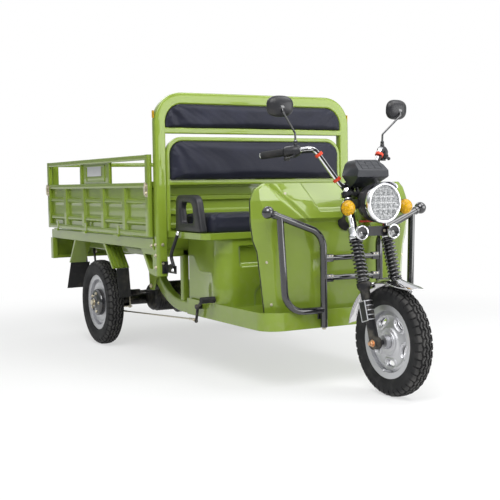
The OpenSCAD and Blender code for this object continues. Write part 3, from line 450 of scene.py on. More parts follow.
class Shader:
    """The node tree of one material or world."""

    def __init__(self, tree: bpy.types.NodeTree) -> None:
        """Clears the tree."""
        self.tree = tree
        tree.nodes.clear()

    def node(
            self, kind: str, settings: Mapping[str, Any], inputs: Mapping[Any, Any],
            output: Any = 0) -> Value:
        """Adds a node.

        Args:
            kind: Type name of the node.
            settings: Properties of the node, and stops for a colour ramp, set first.
            inputs: Socket name or number to its value or link.
            output: Name or number of the output that is returned.

        Returns:
            The output, ready for arithmetic.
        """
        made = self.tree.nodes.new(kind)
        for name, setting in settings.items():
            if name == "stops":
                self._stops(made.color_ramp, setting)
            else:
                setattr(made, name, setting)
        for key, given in inputs.items():
            if isinstance(given, Value):
                self.tree.links.new(given.socket, made.inputs[key])
            else:
                made.inputs[key].default_value = given
        return Value(self, made.outputs[output] if len(made.outputs) else made.inputs[0])

    @staticmethod
    def _stops(ramp: bpy.types.ColorRamp, stops: Sequence[tuple[float, Sequence[float]]]) -> None:
        """Sets a ramp's stops.

        Args:
            ramp: The colour ramp.
            stops: Place and colour of each stop.
        """
        while len(ramp.elements) < len(stops):
            ramp.elements.new(1.0)
        for element, (place, colour) in zip(ramp.elements, stops):
            element.position = place
            element.color = (*colour, 1.0)

    def place(self) -> Value:
        """Object coordinates, in metres of the frame."""
        return self.node("ShaderNodeTexCoord", {}, {}, "Object")

    def height(self, place: Value) -> Value:
        """Height of a place above the ground."""
        return self.node("ShaderNodeSeparateXYZ", {}, {0: place}, 2)

    def noise(
            self, place: Value, scale: float, detail: float = 2.0,
            stretch: Sequence[float] = (1, 1, 1)) -> Value:
        """Cloudy noise from 0 to 1, its scale in features a metre."""
        moved = self.node("ShaderNodeMapping", {}, {"Vector": place, "Scale": stretch})
        return self.node("ShaderNodeTexNoise", {}, {"Vector": moved, "Scale": scale, "Detail": detail})

    def cells(self, place: Value, scale: float) -> Value:
        """Distance to the nearest of scattered cell centres."""
        return self.node("ShaderNodeTexVoronoi", {}, {"Vector": place, "Scale": scale})

    def ramp(self, value: Value, low: float, high: float) -> Value:
        """Value stretched so that low becomes 0 and high becomes 1, with soft ends."""
        limits = {"Value": value, "From Min": low, "From Max": high}
        return self.node("ShaderNodeMapRange", {"interpolation_type": "SMOOTHSTEP"}, limits)

    def mix(self, share: Value, first: Any, second: Any) -> Value:
        """Colour between two colours."""
        pair = {0: share, 6: _colour(first), 7: _colour(second)}
        return self.node("ShaderNodeMix", {"data_type": "RGBA"}, pair, 2)

    def bump(self, height: Value, strength: float, depth: float) -> Value:
        """Normal from a height pattern, with its depth in metres."""
        return self.node("ShaderNodeBump", {}, {"Strength": strength, "Distance": depth, "Height": height})

    def surface(self, inputs: Mapping[str, Any]) -> None:
        """Principled surface with the given sockets, joined to the output."""
        made = self.node("ShaderNodeBsdfPrincipled", {}, inputs)
        self.node("ShaderNodeOutputMaterial", {}, {"Surface": made})


def _colour(value: Any) -> Any:
    """A colour with its alpha, or a link as it is."""
    return value if isinstance(value, Value) else (*value[:3], 1.0)


def shade(colour: Sequence[float], factor: float) -> tuple[float, ...]:
    """A colour made lighter or darker."""
    return tuple(min(1.0, part * factor) for part in colour)


DUST = (0.32, 0.29, 0.23)
ROAD_GREY = (0.105, 0.102, 0.098)


@dataclass(frozen=True)
class Finish:
    """A surface finish, with the record's material slot it belongs to."""

    name: str
    slot: str
    colour: tuple[float, float, float]
    rough: float = 0.4

    def material(self) -> bpy.types.Material:
        """The finish as a material, made at its first use."""
        made = bpy.data.materials.get(self.name)
        if made is None:
            made = bpy.data.materials.new(self.name)
            made.use_nodes = True
            self.dress(Shader(made.node_tree))
        return made

    def dress(self, shader: Shader) -> None:
        """Builds the node tree.

        Args:
            shader: The empty tree.
        """
        raise NotImplementedError


@dataclass(frozen=True)
class Paint(Finish):
    """Sprayed gloss paint under clear coat: orange peel, faint colour clouds and road dust low down."""

    coat: float = 0.9
    dust: float = 0.35
    peel: float = 0.05
    gloss: float = 0.5
    coat_ior: float = 1.5

    def dress(self, shader: Shader) -> None:
        """Clouds tint the colour, dust gathers below hub height, and fine noise lifts the surface."""
        place = shader.place()
        cloud = shader.noise(place, 5.0, 4.0)
        low = shader.ramp(shader.height(place), 0.75, 0.15)
        dust = shader.ramp(shader.noise(place, 26.0, 6.0), 0.42, 0.75) * (0.12 + low) * self.dust
        tint = shader.mix(cloud, shade(self.colour, 0.9), shade(self.colour, 1.1))
        peel = shader.noise(place, 210.0, 2.0)
        shader.surface({
            "Base Color": shader.mix(dust, tint, DUST),
            "Roughness": self.rough + cloud * 0.06 + dust * 0.5,
            "Specular IOR Level": self.gloss,
            "Coat Weight": self.coat - dust * 0.6,
            "Coat Roughness": 0.04,
            "Coat IOR": self.coat_ior,
            "Normal": shader.bump(peel, self.peel, 0.0006)})


@dataclass(frozen=True)
class Metal(Finish):
    """Bright or plated metal: fine hazing, faint stains and rubbing marks."""

    haze: float = 0.12
    stain: float = 0.15

    def dress(self, shader: Shader) -> None:
        """Noise at two scales roughens and stains a metallic surface."""
        place = shader.place()
        cloud = shader.noise(place, 38.0, 5.0)
        rub = shader.noise(place, 300.0, 3.0, (1, 1, 6))
        stain = shader.ramp(cloud, 0.5, 0.8) * self.stain
        shader.surface({
            "Base Color": shader.mix(stain, self.colour, shade(self.colour, 0.45)),
            "Metallic": 1.0,
            "Roughness": self.rough + cloud * self.haze * 0.5 + rub * self.haze * 0.5,
            "Normal": shader.bump(rub, 0.04, 0.0003)})


@dataclass(frozen=True)
class Plastic(Finish):
    """Moulded plastic or rubber with a fine pitted grain."""

    grain: float = 0.25
    scale: float = 900.0
    dust: float = 0.2

    def dress(self, shader: Shader) -> None:
        """Cells give the grain, and clouds vary gloss and a film of dust."""
        place = shader.place()
        cloud = shader.noise(place, 18.0, 5.0)
        pits = shader.cells(place, self.scale)
        dust = shader.ramp(cloud, 0.5, 0.85) * self.dust
        shader.surface({
            "Base Color": shader.mix(dust, self.colour, shade(DUST, 0.5)),
            "Roughness": self.rough + cloud * 0.14,
            "Specular IOR Level": 0.35,
            "Normal": shader.bump(pits, self.grain, 0.0004)})


@dataclass(frozen=True)
class Vinyl(Finish):
    """Coated seat cover: pebble grain, soft sheen and lighter rubbed patches."""

    def dress(self, shader: Shader) -> None:
        """Two sizes of cells make the pebble grain, with slow noise for rubbing and slackness."""
        place = shader.place()
        cloud = shader.noise(place, 9.0, 5.0)
        grain = shader.cells(place, 420.0) + shader.cells(place, 900.0) * 0.5
        slack = shader.noise(place, 24.0, 3.0, (1.0, 0.5, 1.0))
        rubbed = shader.ramp(cloud, 0.45, 0.8) * 0.5
        shader.surface({
            "Base Color": shader.mix(rubbed, self.colour, shade(self.colour, 1.9)),
            "Roughness": self.rough + cloud * 0.16,
            "Specular IOR Level": 0.22,
            "Sheen Weight": 0.05,
            "Sheen Roughness": 0.5,
            "Normal": shader.bump(grain * 0.12 + slack, 0.35, 0.004)})


@dataclass(frozen=True)
class Tyre(Finish):
    """Road rubber: matt, with grey tread tops that are partly dusty wear, groove floors left dark as
    painted shade, and scuffed walls.
    """

    def dress(self, shader: Shader) -> None:
        """Dust clouds and the mesh's mark lighten the rubber, and fine noise roughens it. The mark is dusty
        wear on the tread tops and painted shade in the grooves, which it leaves dark.
        """
        place = shader.place()
        cloud = shader.noise(place, 20.0, 6.0)
        fine = shader.noise(place, 600.0, 2.0)
        # Mark from the mesh: 1 on the tread tops as dusty wear, 0 on the groove floors, which stay dark as
        # painted shade.
        wear_and_groove_shade = shader.node("ShaderNodeAttribute", {"attribute_name": "wear_and_groove_shade"}, {}, "Fac")
        dust = shader.ramp(cloud, 0.4, 0.8) * (0.25 + wear_and_groove_shade * 0.2) + wear_and_groove_shade * 0.27
        shader.surface({
            "Base Color": shader.mix(dust, self.colour, ROAD_GREY),
            "Roughness": self.rough + cloud * 0.15,
            "Specular IOR Level": 0.25,
            "Normal": shader.bump(fine, 0.3, 0.0006)})


@dataclass(frozen=True)
class Lens(Finish):
    """Moulded lamp lens: coloured clear plastic with small optic cells inside, and a faint painted glow of
    its own tint though no lamp behind it is lit.
    """

    clear: float = 0.3
    painted_glow: float = 0.12
    alpha: float = 1.0
    coat: float = 0.8

    def dress(self, shader: Shader) -> None:
        """Optic cells shade the colour and lift the surface a little, and the tint is also given off
        faintly as painted glow.
        """
        place = shader.place()
        cells = shader.cells(place, 190.0)
        tint = shader.mix(shader.ramp(cells, 0.1, 0.6), shade(self.colour, 1.15), shade(self.colour, 0.6))
        shader.surface({
            "Base Color": tint,
            "Roughness": self.rough + cells * 0.05,
            "Specular IOR Level": 0.3,
            "Transmission Weight": self.clear,
            "Coat Weight": self.coat,
            "Coat Roughness": 0.03,
            "Alpha": self.alpha,
            # Painted glow: the lens gives off its own tint, though it is not lit.
            "Emission Color": tint,
            "Emission Strength": self.painted_glow,
            "Normal": shader.bump(cells, 0.25, 0.0015)})


class Coat:
    """The finishes of this vehicle."""

    GREEN = Paint("green_gloss", "green_paint", (0.200, 0.285, 0.026), 0.3, 0.8, 0.12, 0.05, 0.2)
    BLACK = Paint("black_gloss", "black_paint", (0.006, 0.006, 0.009), 0.2, 1.0, 0.08, 0.03, 0.1, 1.8)
    SATIN = Paint("black_satin", "black_paint", (0.009, 0.009, 0.011), 0.42, 0.2, 0.3, 0.08, 0.2)
    SILVER = Metal("silver_wheel", "silver_paint", (0.60, 0.60, 0.62), 0.46, 0.1, 0.1)
    CHROME = Metal("bright_chrome", "chrome", (0.80, 0.80, 0.82), 0.05, 0.1, 0.12)
    FENDER = Metal("dark_chrome", "chrome", (0.66, 0.65, 0.66), 0.06, 0.1, 0.25)
    ZINC = Metal("zinc_plate", "steel", (0.62, 0.57, 0.46), 0.3, 0.2, 0.3)
    COPPER = Metal("copper_plate", "steel", (0.72, 0.44, 0.26), 0.26, 0.2, 0.3)
    OPTIC = Metal("lamp_reflector", "chrome", (0.36, 0.36, 0.36), 0.16, 0.2, 0.2)
    PLASTIC = Plastic("moulded_plastic", "plastic", (0.017, 0.017, 0.020), 0.28)
    HOUSING = Plastic("housing_plastic", "plastic", (0.024, 0.026, 0.032), 0.24, 0.12, 900.0, 0.05)
    CABLE = Plastic("cable_sheath", "plastic", (0.012, 0.012, 0.013), 0.4, 0.1, 500.0, 0.1)
    TIE = Plastic("cable_tie", "plastic", (0.62, 0.05, 0.015), 0.4, 0.1, 500.0, 0.1)
    RUBBER = Plastic("soft_rubber", "rubber", (0.011, 0.011, 0.012), 0.62, 0.4, 700.0, 0.25)
    VINYL = Vinyl("seat_vinyl", "vinyl", (0.0115, 0.0125, 0.0235), 0.42)
    TYRE = Tyre("tyre_rubber", "tyre", (0.012, 0.012, 0.013), 0.6)
    MIRROR = Metal("mirror_glass", "mirror", (0.86, 0.88, 0.9), 0.01, 0.02, 0.04)
    GLASS = Lens("clear_lens", "lens", (0.60, 0.62, 0.64), 0.04, 0.0, 0.0, 0.22)
    # Amber and red lenses carry a faint painted glow; the amber one also dresses the roll bar's side
    # reflectors.
    AMBER = Lens("amber_moulding", "amber_lens", (0.66, 0.36, 0.001), 0.2, 0.0, 0.06, 1.0, 0.0)
    RED = Lens("red_moulding", "red_lens", (0.42, 0.012, 0.012), 0.14, 0.2, 0.06)
    SCREEN = Plastic("display_glass", "plastic", (0.008, 0.009, 0.012), 0.06, 0.02, 300.0, 0.05)


class Workshop:
    """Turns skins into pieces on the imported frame."""

    def __init__(self, frame: Mapping[str, Any]) -> None:
        """Reads the axle places and the rake from the frame.

        Args:
            frame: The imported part, as it was loaded.
        """
        self.nodes = frame["nodes"]
        rear = self._box("rear_tyre_right", 0.0)
        self.axle_x = float((rear[0, 0] + rear[1, 0]) / 2 * MM)
        front = self.box("front_tyre")
        self.front = row((front[0, 0] + front[1, 0]) / 2, 0, (front[0, 2] + front[1, 2]) / 2)
        self.front_r = float(front[1, 2] - front[0, 2]) / 2
        self.rear_r = float(rear[1, 2] - rear[0, 2]) / 2
        axis = next(joint["axis"] for joint in frame["joints"] if joint["name"] == "steering")
        self.rake = math.atan2(-axis[0], axis[2])

    @staticmethod
    def _box(node: str, shift: float) -> Array:
        """Corners of a node in millimetres, its X shifted."""
        low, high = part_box(node)
        return np.array([low, high]) / MM - row(shift, 0, 0)

    def box(self, node: str) -> Array:
        """Corners of a CAD node in millimetres from the rear axle."""
        return self._box(node, self.axle_x / MM)

    def fork(self, points: Array) -> Array:
        """Points of the fork's own frame, whose origin is the axle and whose Z is the steering axis."""
        c, s = math.cos(self.rake), math.sin(self.rake)
        return self.front + points @ table((c, 0, s), (0, 1, 0), (-s, 0, c))

    def fork_axis(self) -> Array:
        """Direction of the steering axis."""
        return row(-math.sin(self.rake), 0, math.cos(self.rake))

    def make(
            self, name: str, skin: Skin, body: Body, finish: Finish, *nodes: str,
            sharp: float = 38) -> bpy.types.Object:
        """Makes a closed skin into a finished piece.

        Args:
            name: Name of the piece.
            skin: Its surface.
            body: Body that it rides on.
            finish: Its finish.
            nodes: CAD nodes that it stands for.
            sharp: Angle in degrees past which an edge stays sharp.

        Returns:
            The finished object.
        """
        places = np.concatenate(skin.points) * MM + row(self.axle_x, 0, 0)
        mesh = welded(name, places, skin.faces, SKIN_WELD, outward=True)
        return self.fit(self._new(name, mesh, sharp), body, finish, *nodes)

    @staticmethod
    def _new(name: str, mesh: bpy.types.Mesh, sharp: float) -> bpy.types.Object:
        """A smooth-shaded object in the scene, with edges past the sharp angle kept crisp."""
        mesh.polygons.foreach_set("use_smooth", np.ones(len(mesh.polygons), bool))
        mesh.set_sharp_from_angle(angle=math.radians(sharp))
        return linked(name, mesh)

    @staticmethod
    def fit(piece: bpy.types.Object, body: Body, finish: Finish, *nodes: str) -> bpy.types.Object:
        """Dresses a piece, puts it on its body and hides the CAD nodes that it stands for.

        Args:
            piece: The object.
            body: Body that it rides on.
            finish: Its finish.
            nodes: CAD nodes that it stands for.

        Returns:
            The same object.
        """
        piece.data.materials.clear()
        piece.data.materials.append(finish.material())
        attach(piece, body.value)
        if nodes:
            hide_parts(*nodes)
        LOG.info("%s on %s", piece.name, body.value)
        return piece

    def softened(
            self, node: str, body: Body, finish: Finish, edge: float,
            segments: int = 3) -> bpy.types.Object:
        """A CAD node's shape with rounded edges.

        A copy of its triangles is merged, its flat faces are joined, and a bevel rounds each edge
        sharper than 35 degrees.

        Args:
            node: CAD node to copy and stand for.
            body: Body that it rides on.
            finish: Its finish.
            edge: Radius of the edges in millimetres.
            segments: Steps round an edge.

        Returns:
            The finished object.
        """
        name = node + "_soft"
        source = self.nodes[node].data
        mesh = welded(name, vectors(source), corners_of(source), NODE_WELD, flat=True)
        made = self._new(name, mesh, 180)
        bevel = made.modifiers.new("edges", "BEVEL")
        bevel.width = edge * MM
        bevel.segments = segments
        bevel.limit_method = "ANGLE"
        bevel.angle_limit = math.radians(35)
        made.modifiers.new("shading", "WEIGHTED_NORMAL")
        return self.fit(made, body, finish, node)

    def keep(self, node: str, finish: Finish) -> None:
        """Gives a CAD node that stays in view its finish."""
        self.nodes[node].data.materials.clear()
        self.nodes[node].data.materials.append(finish.material())
        LOG.info("%s keeps its own shape", node)


@dataclass
class Studio:
    """Camera at the photograph's viewpoint, white floor, soft light."""

    place: tuple[float, float, float] = (4.5594, -2.5256, 0.8990)
    yaw: float = 150.72
    pitch: float = -3.78
    roll: float = -0.85
    lens: float = 70.47
    floor_half: float = 30.0
    sky: float = 0.32
    paper_white: float = 0.58
    key_watts: float = 225.0
    lit: tuple[float, float, float] = (0.1, 0.0, 0.6)

    def camera(self) -> None:
        """Camera from its yaw, pitch and roll: looks along forward, with up turned by the roll."""
        yaw, pitch, roll = (math.radians(angle) for angle in (self.yaw, self.pitch, self.roll))
        ahead = row(math.cos(yaw) * math.cos(pitch), math.sin(yaw) * math.cos(pitch), math.sin(pitch))
        right = unit(np.cross(ahead, UP))
        across = math.cos(roll) * right + math.sin(roll) * np.cross(right, ahead)
        data = bpy.data.cameras.new("photo_camera")
        data.lens = self.lens
        data.sensor_width = 36.0
        made = linked("photo_camera", data)
        aim(made, across, ahead, row(*self.place))
        bpy.context.scene.camera = made

    def floor(self) -> None:
        """White floor that shows the shadow: near the part over half of what is seen is its own white."""
        half = self.floor_half
        mesh = bpy.data.meshes.new("studio_floor")
        corners = [(-half, -half, 0), (half, -half, 0), (half, half, 0), (-half, half, 0)]
        mesh.from_pydata(corners, [], [(0, 1, 2, 3)])
        paper = bpy.data.materials.new("studio_paper")
        paper.use_nodes = True
        shader = Shader(paper.node_tree)
        length = {"operation": "LENGTH"}
        away = shader.node("ShaderNodeVectorMath", length, {0: shader.place()}, "Value")
        white = self.paper_white + shader.ramp(away, 1.6, 3.4) * (1 - self.paper_white)
        share = self._seen(shader) * white
        matt = shader.node("ShaderNodeBsdfDiffuse", {}, {"Color": (0.86, 0.86, 0.86, 1)})
        white = shader.node("ShaderNodeEmission", {}, {"Color": (1, 1, 1, 1), "Strength": 1.0})
        both = shader.node("ShaderNodeMixShader", {}, {0: share, 1: matt, 2: white})
        shader.node("ShaderNodeOutputMaterial", {}, {"Surface": both})
        mesh.materials.append(paper)
        linked("studio_floor", mesh)

    @staticmethod
    def _seen(shader: Shader) -> Value:
        """One for rays that show the background: camera, glossy and transmission rays.

        Args:
            shader: The tree that the nodes go into.

        Returns:
            The mask.
        """
        path = "ShaderNodeLightPath"
        camera = shader.node(path, {}, {}, "Is Camera Ray")
        glossy = shader.node(path, {}, {}, "Is Glossy Ray")
        through = shader.node(path, {}, {}, "Is Transmission Ray")
        return camera.math("MAXIMUM", camera, glossy.math("MAXIMUM", glossy, through))

    def sky_light(self) -> None:
        """World: white where it is seen, with a grey-green band low in what metal mirrors."""
        world = bpy.data.worlds.new("studio_sky")
        world.use_nodes = True
        bpy.context.scene.world = world
        shader = Shader(world.node_tree)
        rise = shader.height(shader.node("ShaderNodeTexCoord", {}, {}, "Generated"))
        stops = ((0.0, (0.9, 0.9, 0.9)), (0.5, (0.30, 0.33, 0.29)), (0.62, (0.34, 0.37, 0.34)),
                 (0.74, (0.95, 0.97, 1.0)), (1.0, (1.0, 1.0, 1.0)))
        band = shader.node("ShaderNodeValToRGB", {"stops": stops}, {0: rise * 0.5 + 0.5})
        glossy = shader.node("ShaderNodeLightPath", {}, {}, "Is Glossy Ray")
        shown = shader.mix(glossy, (1.0, 1.0, 1.0), band)
        pale = {"Color": (0.95, 0.98, 1.0, 1), "Strength": self.sky}
        plain = shader.node("ShaderNodeBackground", {}, pale)
        white = shader.node("ShaderNodeBackground", {}, {"Color": shown, "Strength": 1.0})
        both = shader.node("ShaderNodeMixShader", {}, {0: self._seen(shader), 1: plain, 2: white})
        shader.node("ShaderNodeOutputWorld", {}, {"Surface": both})

    def lamps(self) -> None:
        """Three wide lamps overhead, and a low one on the far side for gleams along the tubes."""
        lights = (("key_light", (3.2, -2.4, 4.5), 3.2, 3.2, self.key_watts),
                  ("fill_light", (2.0, 1.5, 4.0), 2.3, 2.3, self.key_watts * 0.32),
                  ("rear_light", (-3.8, 0.6, 4.2), 3.0, 3.0, self.key_watts * 0.28),
                  ("side_light", (3.7, 2.6, 1.4), 4.4, 2.2, self.key_watts * 0.52))
        for name, place, width, height, watts in lights:
            data = bpy.data.lights.new(name, "AREA")
            data.shape = "RECTANGLE"
            data.size = width
            data.size_y = height
            data.energy = watts
            ahead = unit(row(*self.lit) - row(*place))
            aim(linked(name, data), unit(np.cross(ahead, UP)), ahead, row(*place))

    def build(self) -> None:
        """Sets the view transform and makes the camera, floor and lights."""
        bpy.context.scene.view_settings.view_transform = "Standard"
        self.camera()
        self.floor()
        self.sky_light()
        self.lamps()


@dataclass
class Wheels:
    """Tyres with a zig-zag rib tread, silver rims, hubs and their small parts."""

    shop: Workshop
    rim_r: float = 157.0
    rim_half: float = 30.0
    rear_y: float = 524.0
    ribs: int = 40
    groove: float = 8.0

    def oval(self, radius: float) -> tuple[float, float]:
        """Middle radius and half height of a tyre's section, whose foot is 8 inside the rim."""
        foot = self.rim_r - 8
        return (radius + foot) / 2, (radius - foot) / 2

    def crown(self, radius: float, share: Array) -> Array:
        """Height of the tread over the axle at a share of the half width."""
        middle, half = self.oval(radius)
        return middle + half * (1 - np.minimum(np.abs(share), 1) ** 2.78) ** 0.36

    def tread(self, radius: float, width: float) -> tuple[Array, Array, Array]:
        """Tyre section from bead to bead: radius, offset across, and how far a point follows the zig-zag.

        The section is a squared oval, radius = middle + half height times (1 - q to the 2.78) to the 0.36
        for the share q of the half width, with grooves cut at four shares of it.

        Args:
            radius: Radius of the tyre.
            width: Its width.

        Returns:
            Radius, offset and zig-zag share of each point.
        """
        middle, half = self.oval(radius)
        grooves = row(-0.56, -0.2, 0.2, 0.56)
        edges = (grooves[:, None] + row(-0.1, -0.066, 0.066, 0.1)).ravel()
        flats = row(0.1, 0.3, 0.38, 0.46, 0.66, 0.72, 0.8, 0.86)
        share = np.sort(joined(edges, -flats, row(0), flats))
        inside = np.any(np.abs(share[:, None] - grooves) < 0.07, 1)
        crown = self.crown(radius, share) - inside * self.groove
        angle = np.radians(np.linspace(66, 140, 15))
        wall_r = middle + half * bent(np.cos(angle), 0.72)
        wall_y = width / 2 * np.sin(angle) ** 0.72
        wall_y = wall_y + 0.9 * (np.arange(15) % 5 == 2)
        bead_r = row(self.rim_r + 2.5, self.rim_r + 1.2, self.rim_r - 5)
        bead_y = row(self.rim_half + 2.4, self.rim_half - 4.5, self.rim_half - 7)
        side_r = joined(wall_r, bead_r)
        side_y = joined(wall_y, bead_y)
        r = joined(side_r[::-1], crown, side_r)
        y = joined(-side_y[::-1], share * width / 2, side_y)
        wall = np.zeros(len(side_r))
        follow = joined(wall, 1 - ease(np.abs(share), 0.58, 0.8), wall)
        return r, y, follow

    def tyre(self, name: str, centre: Array, radius: float, width: float, body: Body, node: str) -> None:
        """Carries the section round the axle, with the ribs waving and cross cuts between the blocks.

        Points near the crown's own height are marked as dusty tread tops; the groove floors stay unmarked
        and dark, which is painted shade.

        Args:
            name: Name of the piece.
            centre: Middle of the wheel.
            radius: Radius of the tyre.
            width: Its width.
            body: Body that it rides on.
            node: CAD node that it stands for.
        """
        r, y, follow = self.tread(radius, width)
        cuts = row(0, 0.03, 0.06, 0.22, 0.25, 0.36, 0.5, 0.53, 0.56, 0.74, 0.77, 0.88)
        turn = (np.arange(self.ribs)[:, None] + cuts).ravel()
        wave = np.abs(turn % 1 - 0.5) * 4 - 1
        across = y[None] + wave[:, None] * follow[None] * width * 0.045
        share = np.abs(y) / (width / 2)
        early = np.abs(turn % 1 - 0.14) < 0.09
        late = np.abs(turn % 1 - 0.65) < 0.1
        shoulder = ease(share, 0.64, 0.68) * (r > radius - 30)
        middle = (share > 0.27) & (share < 0.49)
        centre_rib = share < 0.05
        notch = late[:, None] * (8.0 * shoulder + 3.0 * centre_rib) + early[:, None] * 6.0 * middle
        angle = turn[:, None] / self.ribs * TURN
        reach = r[None] - notch
        rows = centre + points(reach * np.cos(angle), across, reach * np.sin(angle))
        piece = self.shop.make(name, Skin().grid(rows, along=True), body, Coat.TYRE, node, sharp=40)
        place = vectors(piece.data) / MM - row(self.shop.axle_x / MM, 0, 0) - centre
        share = np.abs(place[:, 1]) / (width / 2)
        sunk = self.crown(radius, share) - np.hypot(place[:, 0], place[:, 2])
        # Tread tops lighter than the groove floors: dusty wear, and painted shade in the grooves.
        wear_and_groove_shade = (1 - ease(sunk, 2, 4)) * (1 - ease(share, 0.86, 0.9))
        mark = piece.data.attributes.new("wear_and_groove_shade", "FLOAT", "POINT")
        mark.data.foreach_set("value", wear_and_groove_shade.astype(np.float32))

    def window_lips(self) -> Skin:
        """Dished lips round the five windows of both front discs.

        Ovals of growing size are joined: the inner ones lie deep, the middle ones crest above the disc.

        Returns:
            Skin of all ten lips.
        """
        skin = Skin()
        steps = table((12.5, 11.5, -8), (14, 12, -3), (16.5, 13, 2), (19.5, 14, 4),
                      (23, 15, 3.4), (26, 16, 0.8), (27, 16, -3))
        lap = circle(44)
        tangent = steps[:, :1] * lap[None, :, 1] + steps[:, 1:2] * np.tanh(lap[None, :, 1] * 6)
        radial = 94 + steps[:, :1] * lap[None, :, 0]
        lift = np.interp(radial, (30, 56, 64, 96, 112, 126), (22, 22, 14, 8, 14, 10)) + steps[:, 2:]
        for index in range(5):
            turn = self.shop.rake - (index + 0.5) * TURN / 5
            out = row(math.cos(turn), 0, math.sin(turn))
            side = row(-math.sin(turn), 0, math.cos(turn))
            for face in (-1, 1):
                rows = radial[..., None] * out + tangent[..., None] * side + lift[..., None] * face * LEFT
                skin.grid(self.shop.front + rows, along=True)
        return skin

    def rings(self, centre: Array, faces: Sequence[float]) -> Skin:
        """Stepped hub rings pressed in a disc, and a valve stem through it.

        Args:
            centre: Middle of the wheel.
            faces: Sides of the disc, -1 for the right and 1 for the left.

        Returns:
            Their skin.
        """
        step = table((30, 22), (31, 27), (44, 26), (47, 22.5), (55, 22.5), (57, 19), (30, 19))
        valve = table((0, 40), (5.5, 40), (5.5, 52), (4, 54), (0, 54))
        skin = Skin()
        for face in faces:
            skin.lathe(step, centre, face * LEFT, 64)
            skin.tube(centre + table((0, face * 14, -128), (0, face * 40, -120)), 4, 12)
            skin.lathe(valve, centre + row(0, 0, -120), face * LEFT, 12)
        return skin

    def lugs(self, side: int) -> Skin:
        """Axle nut, washer and five wheel nuts on the outside of a rear wheel.

        Args:
            side: -1 for the right wheel, 1 for the left.

        Returns:
            Their skin.
        """
        centre = row(0, side * self.rear_y, self.shop.rear_r)
        skin = Skin().bolt(centre + row(0, side * 53, 0), side * LEFT, 30)
        for angle in np.arange(5) / 5 * TURN:
            spot = centre + 54 * row(math.cos(angle), 0, math.sin(angle)) + row(0, side * 44, 0)
            skin.bolt(spot, side * LEFT, 13)
        return skin

    def drum(self, side: int) -> Skin:
        """Domed drum cover in the middle of a rear wheel."""
        profile = table((0, 54), (24, 54), (28, 50), (34, 45), (64, 43),
                        (72, 38), (76, 30), (76, 12), (0, 12))
        return Skin().lathe(profile, row(0, side * self.rear_y, self.shop.rear_r), side * LEFT, 56)

    def build(self) -> None:
        """Makes the three wheels."""
        shop = self.shop
        body = Body.FRONT_WHEEL
        low, high = shop.box("front_tyre")
        self.tyre("front_tyre_tread", shop.front, shop.front_r, high[1] - low[1], body, "front_tyre")
        shop.softened("front_rim", body, Coat.SILVER, 1.2, 2)
        shop.make("front_rim_lips", self.window_lips(), body, Coat.SILVER)
        shop.make("front_hub_rings", self.rings(shop.front, (-1, 1)), body, Coat.SILVER)
        for side, word, body in ((-1, "right", Body.WHEEL_RIGHT), (1, "left", Body.WHEEL_LEFT)):
            node = "rear_tyre_" + word
            low, high = shop.box(node)
            centre = row(0, side * self.rear_y, shop.rear_r)
            self.tyre(node + "_tread", centre, shop.rear_r, high[1] - low[1], body, node)
            shop.softened("rear_rim_" + word, body, Coat.SILVER, 1.2, 2)
            shop.softened("rear_hub_" + word, body, Coat.BLACK, 2.5)
            shop.make("rear_drum_" + word, self.drum(side), body, Coat.BLACK)
            shop.make("rear_nuts_" + word, self.lugs(side), body, Coat.ZINC)


